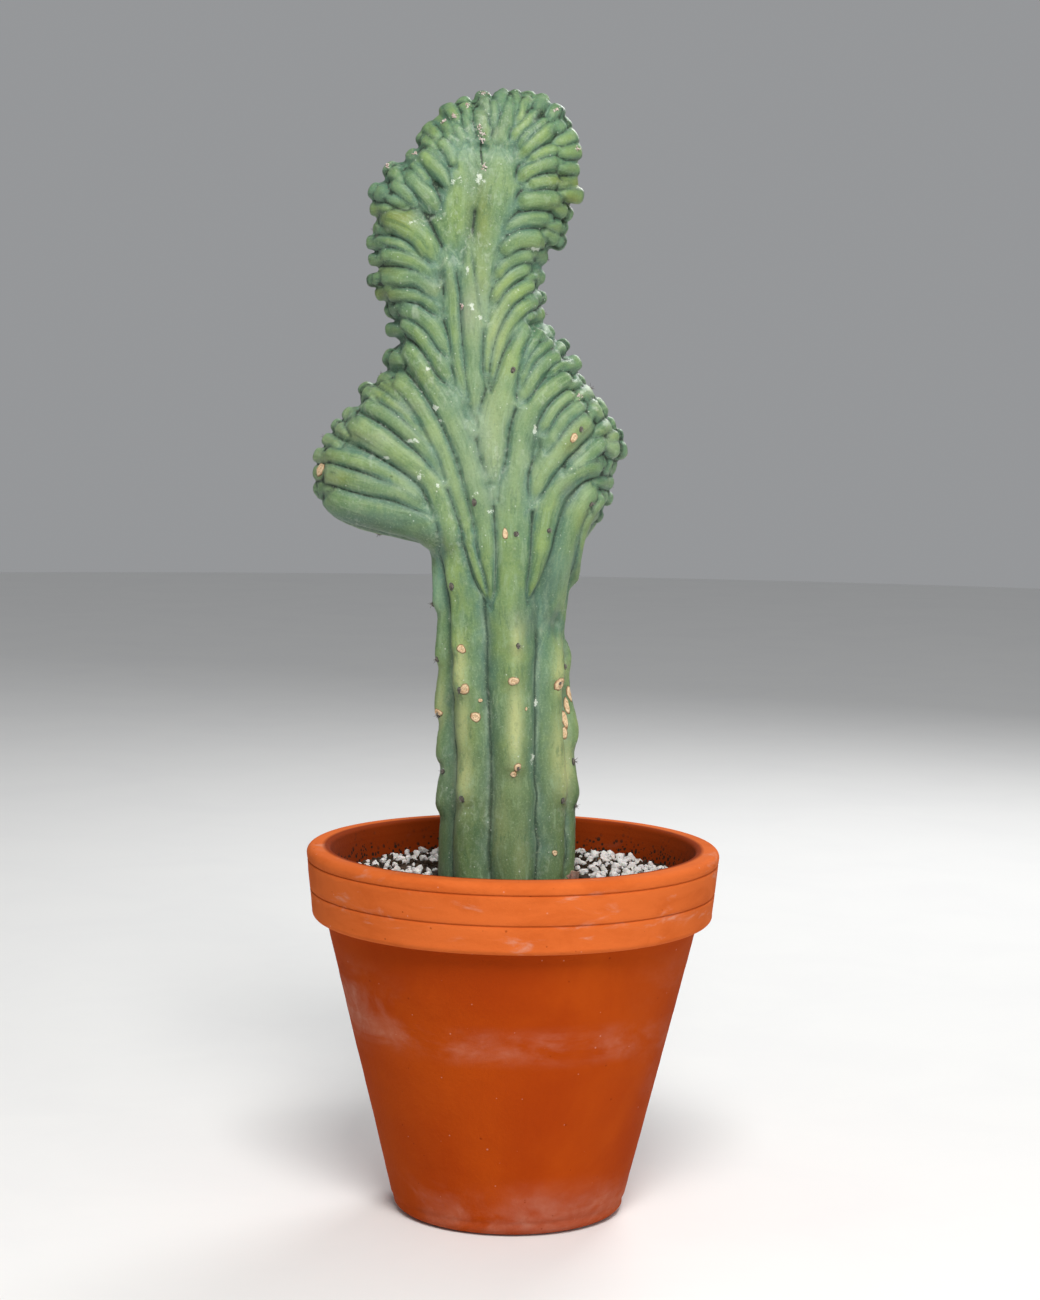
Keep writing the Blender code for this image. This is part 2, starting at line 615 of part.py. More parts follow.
def on_skin(x_mm, z_mm, side, height=0.0):
    """The skin's point under a crest that stands `height` out and is seen at (x, z) of the
    plane y = 0: by the eye on the front (side -1), square on at the back (side +1)."""
    wanted = Vector((x_mm * MM, 0.0, z_mm * MM))
    aim = wanted.copy()
    for _ in range(8):
        point = aim.copy()
        point.y = side * depth_at(point.x, point.z)
        if side < 0:
            for _ in range(2):
                point = EYE + (aim - EYE) * ((point.y - EYE.y) / -EYE.y)
                point.y = -depth_at(point.x, point.z)
        crest = point + outward(*point) * height * MM
        if side < 0:
            seen = EYE + (crest - EYE) * (-EYE.y / (crest.y - EYE.y))
        else:
            seen = Vector((crest.x, 0.0, crest.z))
        aim.x += 0.7 * (wanted.x - seen.x)
        aim.z += 0.7 * (wanted.z - seen.z)
    return point


def underside(x):
    """The lowest height above the stem's top at which the core reaches out to x."""
    for z_mm in range(FANS_START, FANS_WIDEST):
        left, _, right, _ = core_at(z_mm * MM)
        if left < x < right:
            return z_mm * MM
    return FANS_START * MM


def smooth_path(points, spacing):
    """A Catmull-Rom curve through the points, sampled about every `spacing`."""
    padded = [2 * points[0] - points[1], *points, 2 * points[-1] - points[-2]]
    fine = []
    for a, b, c, d in zip(padded, padded[1:], padded[2:], padded[3:]):
        for k in range(12):
            t = k / 12
            fine.append(0.5 * (
                2 * b + (c - a) * t + (2 * a - 5 * b + 4 * c - d) * t * t
                + (3 * b - a - 3 * c + d) * t * t * t
            ))
    fine.append(points[-1])
    lengths = [0.0]
    for a, b in zip(fine, fine[1:]):
        lengths.append(lengths[-1] + (b - a).length)
    steps = max(2, round(lengths[-1] / spacing))
    wanted = np.linspace(0.0, lengths[-1], steps + 1)
    array = np.array(fine)
    sampled = [np.interp(wanted, lengths, array[:, k]) for k in range(3)]
    return [Vector(point) for point in zip(*sampled)], wanted


def rib(path, widths, height, phase=0.0, root="fades", tip="finger"):
    """A closed rib along the path, its tip rounded; widths and sizes in millimetres.

    Each ring is a full ellipse whose long way stands out of the core's skin. The root fades
    into the core or stays. The tip is a finger, a knob, which is round there, or rises gently
    out of the core. Returns the shape and the spots of its crest.
    """
    centres, lengths = smooth_path(path, RIB_SPACING * MM)
    total = lengths[-1]
    marks_at = lengths_of_marks(path, centres, lengths)
    first = min(widths[0] * MM * 1.1, 0.35 * total)
    marks = [first * 0.12, first * 0.5, first]
    marks += [s for s in lengths if first * 1.5 < s < total * 0.985]
    array = np.array(centres)

    def place(s):
        return Vector([float(np.interp(s, lengths, array[:, k])) for k in range(3)])

    points, faces, crest = [place(0.0)], [], []
    for s in marks:
        centre = place(s)
        along = (place(min(s + MM, total)) - place(max(s - MM, 0.0))).normalized()
        out = outward(*centre)
        out = (out - along * out.dot(along)).normalized()
        across = along.cross(out)
        roundness = math.sqrt(max(0.0, 1.0 - (1.0 - min(s / first, 1.0)) ** 2))
        fade = 0.0 if root == "stays" else smoothstep(0.5, 1.0, s / total)
        rise = smoothstep(0.0, RISE_LENGTH * MM, s) if tip == "rises" else 1.0
        sink = RIB_SINK * (smoothstep(0.15, 0.5, s / total) if tip == "knob" else 1.0)
        wide = float(np.interp(s, marks_at, widths)) * MM * OVERLAP
        wide *= roundness * (1.0 - 0.35 * fade)
        tall = (height * (1.0 - 0.9 * fade) * rise + sink) * roundness * MM
        if centre.z < STEM_TOP * MM:
            beat = math.cos(math.tau * (centre.z / MM / TUBERCLE_PITCH + phase))
            tall *= 1.0 + TUBERCLE_SWELL * beat
            wide *= 1.0 + 0.5 * TUBERCLE_SWELL * beat
        middle = centre - out * sink * MM
        for k in range(RIB_SIDES):
            angle = math.tau * k / RIB_SIDES
            sine, cosine = math.sin(angle), math.cos(angle)
            points.append(
                middle
                + across * (wide * math.copysign(abs(sine) ** FULL_SIDE, sine))
                + out * (tall * math.copysign(abs(cosine) ** FULL_SIDE, cosine))
            )
        crest.append((middle + out * tall, out))
    points.append(place(total) - outward(*place(total)) * RIB_SINK * MM)
    last = len(points) - 1
    for k in range(RIB_SIDES):
        j = (k + 1) % RIB_SIDES
        faces.append([0, 1 + j, 1 + k])
        for ring in range(len(marks) - 1):
            a, b = 1 + ring * RIB_SIDES, 1 + (ring + 1) * RIB_SIDES
            faces.append([a + k, a + j, b + j, b + k])
        a = 1 + (len(marks) - 1) * RIB_SIDES
        faces.append([a + k, a + j, last])
    return facing_out(points, faces), crest


def smoothstep(low, high, value):
    t = min(max((value - low) / (high - low), 0.0), 1.0)
    return t * t * (3.0 - 2.0 * t)


def lengths_of_marks(path, centres, lengths):
    """How far along the curve each of the path's own points lies."""
    found = []
    for mark in path:
        gaps = [(centre - mark).length for centre in centres]
        found.append(float(lengths[gaps.index(min(gaps))]))
    return found


def facing_out(points, faces):
    volume = 0.0
    for face in faces:
        for a, b in zip(face[1:], face[2:]):
            volume += points[face[0]].dot(points[a].cross(points[b]))
    if volume < 0:
        faces = [face[::-1] for face in faces]
    return points, faces


def core_shape():
    points, faces = [], []
    for z, left, ridge, right, thick in CORE_ROWS:
        power = fullness(z)
        for k in range(CORE_SIDES):
            angle = math.tau * (k + 0.5) / CORE_SIDES
            c, s = math.cos(angle), math.sin(angle)
            half = right - ridge if c > 0 else ridge - left
            points.append(Vector((
                ridge + half * math.copysign(abs(c) ** (2 / power), c),
                thick * math.copysign(abs(s) ** (2 / power), s),
                z,
            )))
    rows = len(CORE_ROWS)
    faces.append(list(range(CORE_SIDES))[::-1])
    faces.append(list(range((rows - 1) * CORE_SIDES, rows * CORE_SIDES)))
    for row in range(rows - 1):
        a, b = row * CORE_SIDES, (row + 1) * CORE_SIDES
        for k in range(CORE_SIDES):
            j = (k + 1) % CORE_SIDES
            faces.append([a + k, a + j, b + j, b + k])
    return facing_out(points, faces)


def marks_of(entry, shift=0.0, side=-1):
    """A rib's path on the skin, its half width at each point, and its height."""
    half, height, marks = entry
    path = [on_skin(mark[0] + shift, mark[1], side, height) for mark in marks]
    widths = [mark[2] if len(mark) > 2 else half for mark in marks]
    return path, widths, height


def front_ribs():
    groups = (UPPER_LEFT_RIBS, UPPER_RIGHT_RIBS, LOWER_LEFT_RIBS, LOWER_RIGHT_RIBS, MIDDLE_RIBS)
    made = []
    for group in groups:
        for index, entry in enumerate(group):
            path, widths, height = marks_of(entry)
            root = "stays" if entry[2][-1][1] < STEM_RIB_FOOT else "fades"
            tip = "rises" if group is MIDDLE_RIBS else "finger"
            made.append(rib(path, widths, height, 0.3 * index, root, tip))
    return made


def stem_ribs():
    made = []
    for index, degrees in enumerate(STEM_BACK_ANGLES):
        angle = math.radians(degrees)
        path = []
        for z_mm in STEM_BACK_MARKS:
            left, ridge, right, thick = core_at(z_mm * MM)
            half = right - ridge if math.sin(angle) > 0 else ridge - left
            half = min(half, STEM_HALF_WIDEST * MM)
            path.append(Vector((
                ridge + half * math.sin(angle), -thick * math.cos(angle), z_mm * MM,
            )))
        widths = [STEM_RIB_HALF] * len(path)
        made.append(rib(path, widths, STEM_RIB_HEIGHT, 0.37 * index, "stays", "rises"))
    return made


def knob_ribs():
    """Ribs of the back, each ending in a knob of the crest's edge."""
    rng = random.Random(SEED)
    made = []
    for knobs in (LEFT_KNOBS, RIGHT_KNOBS):
        for index, (radius, x, z) in enumerate(knobs):
            before = knobs[max(index - 1, 0)]
            after = knobs[min(index + 1, len(knobs) - 1)]
            along = Vector((after[1] - before[1], 0.0, after[2] - before[2])).normalized()
            away = Vector((along.z, 0.0, -along.x))
            ridge = core_at(z * MM)[1] / MM
            if away.dot(Vector((x - ridge, 0.0, 12.0))) < 0:
                away = -away
            reach = max(KNOB_REACH_LEAST, 0.55 * abs(x - ridge) + 8.0) * rng.uniform(0.9, 1.15)
            knob = Vector((x, 0.0, z))
            start = knob + away * radius
            second = knob - away * reach * 0.3
            third = knob - away * reach * 0.62 - Vector((0, 0, reach * 0.14))
            fourth = knob - away * reach * 0.85 - Vector((0, 0, reach * 0.5))
            for bend in (third, fourth):
                bend.z = max(bend.z, underside(bend.x * MM) / MM + 5.0)
            path = [
                Vector((start.x, 2.0, start.z)) * MM,
                Vector((knob.x, 2.5, knob.z)) * MM,
                on_skin(second.x, second.z, 1),
                on_skin(third.x, third.z, 1),
                on_skin(fourth.x, fourth.z, 1),
            ]
            widths = [radius] * 3 + [radius * 1.15] * 2
            made.append(rib(path, widths, radius * OVERLAP, tip="knob"))
    return made


def back_ribs():
    """The back's broad middle ribs: the front's longest ones, set apart a little."""
    rng = random.Random(SEED + 1)
    made = []
    longest = [
        entry for group in (LOWER_LEFT_RIBS, LOWER_RIGHT_RIBS) for entry in group
        if len(entry[2]) > 4
    ]
    for half, height, marks in (*MIDDLE_RIBS, *longest):
        above = tuple(mark for mark in marks[1:] if mark[1] > STEM_TOP - 30)
        shift = rng.uniform(-BACK_SHIFT, BACK_SHIFT)
        path, widths, height = marks_of((half, height, above), shift, 1)
        made.append(rib(path, widths, height, tip="rises"))
    return made


def spine(rng, foot, out):
    """A thin three-sided cone, its foot inside the skin."""
    side = out.cross(Vector((0.3, 0.2, 1.0))).normalized()
    up = out.cross(side)
    lean = rng.uniform(0, math.tau)
    lean = side * math.cos(lean) + up * math.sin(lean)
    points = []
    for k in range(3):
        angle = math.tau * k / 3
        spread = side * math.cos(angle) + up * math.sin(angle)
        points.append(foot - out * SPINE_FOOT * MM + spread * SPINE_BASE * MM)
    points.append(foot + (out + lean * 0.5).normalized() * SPINE_LENGTH * MM)
    return facing_out(points, [[0, 1, 3], [1, 2, 3], [2, 0, 3], [0, 2, 1]])


def spines_of(crests):
    """One spine at each areole: every tubercle of the stem, and the tips of the fingers."""
    rng = random.Random(SEED + 2)
    made = []
    for number, crest in enumerate(crests):
        beat = -1
        for foot, out in crest:
            tubercle = math.floor(foot.z / MM / TUBERCLE_PITCH)
            visible = SOIL_TOP + 8 * MM < foot.z < STEM_TOP * MM
            if visible and tubercle != beat:
                beat = tubercle
                made.append(spine(rng, foot, out))
        foot, out = crest[1]
        within_rim = abs(foot.x) + SPINE_LENGTH * MM < RIM_RADIUS
        if foot.z > STEM_TOP * MM and number % 2 and within_rim:
            made.append(spine(rng, foot, out))
    return made


def make_cactus(where):
    skin = material("cactus_skin", (0.17, 0.26, 0.13), 0.55)
    ribs = front_ribs() + stem_ribs() + knob_ribs() + back_ribs()
    body = union_of("cactus_body", [shape for shape, _ in ribs], core_shape(), where, skin)
    thinned(body, SKIN_TRIANGLES, voxel=SKIN_VOXEL)
    points = [vertex.co.copy() for vertex in body.data.vertices]
    faces = [list(polygon.vertices) for polygon in body.data.polygons]
    bpy.data.objects.remove(body, do_unlink=True)
    spines = spines_of([crest for _, crest in ribs])
    return union_of("cactus", spines, (points, faces), where, skin)


def main():
    clear_scene()
    parts = collection("crested_cactus")
    cutters = collection("cutters", cutters=True)
    make_pot(parts)
    make_soil(parts, cutters)
    make_perlite(parts)
    make_cactus(parts)


main()
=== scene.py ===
# %% [markdown]
# # A crested candle cactus in its clay pot
#
# A columnar cactus grows from one point at its tip. Now and then that point becomes a line, and
# the plant goes on growing along the whole line: ribs are laid down side by side and the column
# opens into a wavy, fingered crest. This lesson builds such a plant, the clay pot it stands in,
# and the soil and perlite round its foot, all on top of a measured model that is loaded first.
# Nothing here is sculpted by hand. Each form is a short list of sizes and a formula.

# %% Load the measured model
import math
import random

import bmesh
import bpy
import numpy as np
from mathutils import Matrix, Vector
from mathutils.bvhtree import BVHTree


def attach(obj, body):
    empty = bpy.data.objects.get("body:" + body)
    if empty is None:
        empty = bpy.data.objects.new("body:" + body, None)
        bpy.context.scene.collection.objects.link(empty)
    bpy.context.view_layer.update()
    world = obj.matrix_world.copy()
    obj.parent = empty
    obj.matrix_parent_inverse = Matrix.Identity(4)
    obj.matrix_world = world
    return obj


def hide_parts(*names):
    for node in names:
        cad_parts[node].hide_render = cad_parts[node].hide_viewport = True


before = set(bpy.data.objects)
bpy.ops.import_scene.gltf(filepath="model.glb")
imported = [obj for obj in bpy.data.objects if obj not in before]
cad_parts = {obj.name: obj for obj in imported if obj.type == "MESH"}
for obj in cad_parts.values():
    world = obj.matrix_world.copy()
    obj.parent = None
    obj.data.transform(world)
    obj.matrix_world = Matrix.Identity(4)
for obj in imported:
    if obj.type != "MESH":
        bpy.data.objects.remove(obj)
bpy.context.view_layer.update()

print("nodes:", sorted(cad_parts))

# %% [markdown]
# ## Working in arrays
#
# Blender can build a mesh face by face, but a loop over thousands of points is slow and hard to
# read. The shapes below are worked out with numpy, which handles all the points of a shape in
# one line, and are handed to Blender in one go with foreach_set. The helpers here are the
# whole toolbox: soft steps, unit vectors, the faces of a grid, ways to make a piece and to read
# it back, and a way to calm what is stored at the points of a mesh.

# %% Small helpers for arrays and meshes
MM = 0.001
UP = np.array([0.0, 0.0, 1.0])


def soft_step(low, high, value):
    """0 below low, 1 above high, and the S-curve 3t^2 - 2t^3 in between."""
    t = np.clip((value - low) / (high - low), 0.0, 1.0)
    return t * t * (3.0 - 2.0 * t)


def unit(vectors):
    """Each vector divided by its own length."""
    return vectors / np.maximum(np.linalg.norm(vectors, axis=-1, keepdims=True), 1e-12)


def signed_power(value, power):
    """The size raised to a power with the sign kept: it squares off a sine or a cosine."""
    return np.sign(value) * np.abs(value) ** power


def round_angles(count):
    """So many angles, evenly round a circle."""
    return math.tau * np.arange(count) / count


def stacked(*parts):
    """The parts as the last axis of one array; a single number is repeated for all rows."""
    return np.stack(np.broadcast_arrays(*parts), axis=-1)


def between(wanted, marks, columns):
    """Each column of numbers, known at the marks, read off at the wanted places."""
    return stacked(*[np.interp(wanted, marks, column) for column in columns.T])


def grid_faces(rows, columns, closed=False):
    """Quads between neighbouring rows of a grid whose rows close on themselves. In a closed
    grid the last row is also joined to the first."""
    row = np.arange(rows if closed else rows - 1)[:, None]
    row, next_row = row * columns, (row + 1) % rows * columns
    column = np.arange(columns)[None, :]
    beside = (column + 1) % columns
    quads = row + column, row + beside, next_row + beside, next_row + column
    return stacked(*quads).reshape(-1, 4)


def closed_tube(rings, start, end):
    """A closed skin over a stack of rings, drawn together to one point at each end."""
    rows, columns, _ = rings.shape
    points = np.concatenate([rings.reshape(-1, 3), [start, end]])
    k = np.arange(columns)
    after = (k + 1) % columns
    last_row = (rows - 1) * columns
    begin = stacked(rows * columns, after, k)
    close = stacked(rows * columns + 1, last_row + k, last_row + after)
    return points, [grid_faces(rows, columns), begin, close]


def distance_to(points, spots):
    """The distance to the nearest spot, from |p - s|^2 = p.p + s.s - 2 p.s, block by block."""
    blocks = np.array_split(points, max(1, len(points) * len(spots) // 10_000_000))
    squares = [
        (block ** 2).sum(axis=1)[:, None] + (spots ** 2).sum(axis=1)[None] - 2.0 * block @ spots.T
        for block in blocks
    ]
    return np.sqrt(np.maximum(np.concatenate([square.min(axis=1) for square in squares]), 0.0))


def joined(shapes):
    """Several shapes as one list of points and one list of faces."""
    all_points, all_faces, count = [], [], 0
    for points, faces in shapes:
        all_points.append(points)
        all_faces += [block + count for block in faces]
        count += len(points)
    return np.concatenate(all_points), all_faces


def mesh_from(name, points, faces, smooth=True):
    """A mesh from an array of points and blocks of faces with the same number of corners."""
    mesh = bpy.data.meshes.new(name)
    corners = np.concatenate([block.ravel() for block in faces])
    sizes = np.concatenate([np.full(len(block), block.shape[1]) for block in faces])
    mesh.vertices.add(len(points))
    mesh.vertices.foreach_set("co", np.asarray(points, np.float32).ravel())
    mesh.loops.add(len(corners))
    mesh.loops.foreach_set("vertex_index", corners.astype(np.int32))
    mesh.polygons.add(len(sizes))
    starts = np.concatenate([[0], np.cumsum(sizes)[:-1]])
    mesh.polygons.foreach_set("loop_start", starts.astype(np.int32))
    mesh.polygons.foreach_set("use_smooth", np.full(len(sizes), smooth))
    mesh.update(calc_edges=True)
    return mesh


def piece_from(name, points, faces, smooth=True):
    """The mesh as an object at the origin, linked to the scene."""
    piece = bpy.data.objects.new(name, mesh_from(name, points, faces, smooth))
    bpy.context.scene.collection.objects.link(piece)
    return piece


def settle(piece, finish, stands_for=()):
    """Gives a piece its finish and the body it rides on, and hides the parts it stands for."""
    piece.data.materials.append(finish)
    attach(piece, "root")
    if stands_for:
        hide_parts(*stands_for)
    print(piece.name, "has", len(piece.data.vertices), "points")


def bake_modifiers(piece):
    """Replaces the mesh by what its modifiers make of it."""
    graph = bpy.context.evaluated_depsgraph_get()
    graph.update()
    mesh = bpy.data.meshes.new_from_object(piece.evaluated_get(graph))
    old = piece.data
    piece.modifiers.clear()
    piece.data = mesh
    bpy.data.meshes.remove(old)


def read_rows(items, name, width, kind=np.float32):
    """One row of numbers for each item of a mesh."""
    flat = np.empty(len(items) * width, kind)
    items.foreach_get(name, flat)
    return flat.reshape(-1, width)


def read_points(mesh):
    """The place of every point."""
    return read_rows(mesh.vertices, "co", 3).astype(float)


def read_normals(mesh):
    """The smooth direction out of the surface at each point."""
    return read_rows(mesh.vertex_normals, "vector", 3).astype(float)


def read_edges(mesh):
    """Each edge as the numbers of its two points."""
    return read_rows(mesh.edges, "vertices", 2, np.int32)


def write_points(mesh, points):
    """Moves every point to a new place."""
    mesh.vertices.foreach_set("co", np.asarray(points, np.float32).ravel())
    mesh.update()


def paint(mesh, name, values):
    """Stores one number for each point, for the finish to read by name."""
    layer = mesh.attributes.new(name, "FLOAT", "POINT")
    layer.data.foreach_set("value", np.asarray(values, np.float32))


def relax(values, edges, times, share=0.5):
    """Moves every value part of the way to the mean of its neighbours, again and again."""
    ends = np.concatenate([edges[:, 0], edges[:, 1]])
    others = np.concatenate([edges[:, 1], edges[:, 0]])
    count = np.maximum(np.bincount(ends, minlength=len(values)), 1)
    flat = values.reshape(len(values), -1).copy()
    share = np.broadcast_to(np.asarray(share, float), len(values))
    for _ in range(times):
        for column in range(flat.shape[1]):
            total = np.bincount(ends, weights=flat[others, column], minlength=len(values))
            flat[:, column] += share * (total / count - flat[:, column])
    return flat.reshape(values.shape)


def stands_out(points, edges, out, times):
    """How far each point lies outside the mean of its neighbourhood, along the normal."""
    return ((points - relax(points, edges, times)) * out).sum(axis=1)


# %% [markdown]
# ## Noise for natural surfaces
#
# Skin, clay and soil are never perfectly even. Value noise gives each corner of a cubic lattice
# a random number and blends between the eight corners round a point. Two or three lattices of
# different sizes, added together, look natural. The numbers come from a fixed mixing rule, so
# the same point gets the same value each time the script runs.

# %% Value noise
def lattice_value(corner, seed):
    """A number from 0 to 1 for each whole-numbered corner, from mixing its three counts."""
    mixed = corner[..., 0] * 374761393 + corner[..., 1] * 668265263 + corner[..., 2] * 2147483647
    mixed = (mixed + seed * 974634777) & 0x7FFFFFFF
    mixed = ((mixed ^ (mixed >> 13)) * 1274126177) & 0x7FFFFFFF
    return ((mixed ^ (mixed >> 16)) & 0xFFFFF) / 0xFFFFF


def noise(points, size, seed=0):
    """Value noise from -1 to 1 with lumps about `size` across: blend of eight lattice corners."""
    place = np.asarray(points) / size
    low = np.floor(place).astype(np.int64)
    part = place - low
    part = part * part * (3.0 - 2.0 * part)
    total = np.zeros(len(place))
    for corner in np.ndindex(2, 2, 2):
        weight = np.where(corner, part, 1.0 - part).prod(axis=1)
        total += weight * lattice_value(low + np.array(corner), seed)
    return 2.0 * total - 1.0


line_values = noise(np.linspace([0.0, 0.0, 0.0], [9.0, 5.0, 7.0], 500), 1.0)
print("noise along a line:", line_values.min().round(2), "to", line_values.max().round(2))

# %% [markdown]
# ## The core inside the ribs
#
# Seen from the front the plant is a column that widens into two fans and a tall hood. Seen from
# the side it is hardly thicker than the column all the way up, because a crest grows in a line.
# So the body under the ribs is a stack of level slices. Each slice is a flattened oval with its
# own left edge, right edge and thickness, and its thickest place need not be in the middle.
# The sizes are in millimetres.

# %% The core's slices
# Height, left edge, thickest place, right edge, half thickness.
CORE = np.array([
    (145.3, -31.0, -2.3, 26.4, 28.7),
    (175, -31.4, -2.3, 26.8, 29.0),
    (210, -31.5, -2.4, 26.7, 29.0),
    (245, -32.5, -4.5, 25.0, 28.7),
    (270, -34.0, -7.0, 20.5, 28.0),
    (298, -35.5, -8.5, 16.5, 27.0),
    (314, -38.0, -8.5, 19.0, 27.5),
    (335, -38.5, -8.5, 26.0, 28.5),
    (342.5, -43.0, -9.0, 29.5, 29.0),
    (345.5, -56.0, -9.5, 31.5, 28.5),
    (348, -73.0, -10.0, 33.5, 28.0),
    (351.5, -86.0, -11.0, 36.0, 28.0),
    (356, -95.0, -12.5, 39.0, 27.5),
    (363, -100.0, -14.0, 42.0, 27.0),
    (374, -101.0, -16.0, 44.0, 26.5),
    (384, -98.5, -17.0, 47.0, 26.0),
    (396, -90.5, -18.0, 46.0, 25.5),
    (406, -83.0, -18.5, 41.0, 25.0),
    (414, -76.0, -19.0, 36.0, 24.0),
    (424, -65.5, -20.0, 28.0, 22.5),
    (436, -61.0, -22.0, 20.5, 21.5),
    (450, -62.0, -23.5, 10.0, 20.0),
    (466, -69.0, -25.0, 6.8, 19.0),
    (484, -72.5, -26.0, 10.5, 18.5),
    (500, -72.0, -25.5, 17.5, 18.0),
    (513, -72.0, -25.0, 23.0, 17.5),
    (524, -63.5, -23.5, 23.0, 16.0),
    (535, -52.5, -21.0, 22.0, 14.5),
    (545, -43.5, -18.5, 18.5, 12.5),
    (553, -34.0, -15.0, 12.5, 9.5),
    (558.5, -22.0, -10.5, 1.0, 4.5),
]) * MM
ROUND_BELOW, FLAT_ABOVE = 320 * MM, 450 * MM
LEVEL_STEP, LEVEL_ROUNDS = 0.4 * MM, 4
CREST_INSET = 1.0 * MM
CREST_FROM, CREST_FULL = 325 * MM, 365 * MM
BLUR_REACH, BLUR_WIDTH = 6, 2.0  # in slices, which are a millimetre apart
slice_heights = np.arange(CORE[0, 0], CORE[-1, 0], MM)
slice_sizes = between(slice_heights, CORE[:, 0], CORE[:, 1:]).T
blur = np.exp(-0.5 * (np.arange(-BLUR_REACH, BLUR_REACH + 1) / BLUR_WIDTH) ** 2)
padded = np.pad(slice_sizes, ((0, 0), (BLUR_REACH, BLUR_REACH)), mode="edge")
slice_sizes = np.stack([np.convolve(row, blur / blur.sum(), mode="valid") for row in padded])
print("core:", len(CORE), "measured slices, smoothed into", len(slice_heights))


def core_at(z):
    """Left edge, thickest place, right edge and half thickness at each height."""
    return [np.interp(z, slice_heights, row) for row in slice_sizes]


def fullness(z):
    """The power of the slice's oval: 2 is an ellipse, and a larger one is squarer."""
    return 2.0 + 0.7 * np.clip((z - ROUND_BELOW) / (FLAT_ABOVE - ROUND_BELOW), 0.0, 1.0)


def across_slice(x, z):
    """How far out x lies, as a share of the half slice on its side, with the oval's power and
    its half thickness there."""
    left, ridge, right, thick = core_at(z)
    half = np.where(x > ridge, right - ridge, ridge - left)
    return np.abs(x - ridge) / half, fullness(z), thick


def core_level(points):
    """Below 1 inside the core and 1 on its skin: |across / half|^p + |y / thick|^p."""
    across, power, thick = across_slice(points[..., 0], points[..., 2])
    return across ** power + (np.abs(points[..., 1]) / thick) ** power


def level_steps(points):
    """The difference of the level between a step forward and a step back, on each axis."""
    return np.stack([
        core_level(points + LEVEL_STEP * axis) - core_level(points - LEVEL_STEP * axis)
        for axis in np.eye(3)
    ], axis=-1)


def outward(points):
    """The direction in which the level grows fastest, which is straight out of the skin."""
    return unit(level_steps(points))


def onto_core(points):
    """Each point moved straight in or out until it lies on the core: the step is what the
    level lacks of 1, divided by the level's slope."""
    for _ in range(LEVEL_ROUNDS):
        slope = level_steps(points) / (2.0 * LEVEL_STEP)
        lack = (core_level(points) - 1.0) / np.maximum((slope ** 2).sum(axis=-1), 1.0)
        points = points - slope * lack[:, None]
    return points


def depth_at(x, z):
    """How far the core's skin stands from the plane y = 0, from solving the oval for y."""
    across, power, thick = across_slice(x, z)
    return thick * (1.0 - np.minimum(across, 1.0) ** power) ** (1.0 / power)


def core_rings(sides):
    """Rings of points, one to a slice; on each, cosine and sine are squared off. In the crest
    the slices are drawn in, so that the ribs stand free of them at the edge."""
    z = slice_heights[:, None]
    left, ridge, right, thick = core_at(z)
    crest = soft_step(CREST_FROM, CREST_FULL, z)
    left = np.minimum(left + CREST_INSET * crest, ridge - 4 * MM)
    right = np.maximum(right - CREST_INSET * crest, ridge + 4 * MM)
    z = z - CREST_INSET * soft_step(500 * MM, 558 * MM, z)
    c, s = np.cos(round_angles(sides)), np.sin(round_angles(sides))
    half = np.where(c > 0, right - ridge, ridge - left)
    power = 2.0 / (fullness(z) + (2.1 - fullness(z)) * crest)
    return stacked(ridge + half * signed_power(c, power), thick * signed_power(s, power), z)


# %% [markdown]
# ## Where a rib lies
#
# The ribs of the front are laid out as they look from the front, each as a few points of its
# crest line, measured on the upright plane y = 0. To put such a point on the plant, it is moved
# along the line of sight until the rib's crest, which stands a little out of the core, is seen
# just there. The same is done at the back, straight on, so that both sides have full ribs.

# %% From the plane of view to the skin
EYE = np.array([0.0, -1.503, 0.446])
BACK, FRONT = 1, -1
SIGHT_ROUNDS, DEPTH_ROUNDS, STEP_SHARE = 10, 3, 0.7
CURVE_STEPS = 16


def along_sight(points, y):
    """Each point carried along its line of sight to the depth y."""
    share = (y - EYE[1]) / (points[:, 1] - EYE[1])
    return EYE + (points - EYE) * share[:, None]


def seen_from_front(points):
    """Where the line of sight to each point crosses the plane y = 0."""
    return along_sight(points, 0.0)[:, [0, 2]]


def on_skin(x_mm, z_mm, side=FRONT, height=0.0):
    """The skin's points under crests that are seen at (x, z), found by stepping closer."""
    wanted = stacked(x_mm, z_mm) * MM
    aim = wanted.copy()
    point = np.zeros((len(aim), 3))
    for _ in range(SIGHT_ROUNDS):
        point[:, 0], point[:, 2] = aim[:, 0], aim[:, 1]
        point[:, 1] = side * depth_at(point[:, 0], point[:, 2])
        if side == FRONT:
            for _ in range(DEPTH_ROUNDS):
                spot = along_sight(np.insert(aim, 1, 0.0, axis=1), point[:, 1])
                point[:, 0], point[:, 2] = spot[:, 0], spot[:, 2]
                point[:, 1] = -depth_at(point[:, 0], point[:, 2])
        crest = point + outward(point) * height * MM
        seen = seen_from_front(crest) if side == FRONT else crest[:, [0, 2]]
        aim += STEP_SHARE * (wanted - seen)
    return point


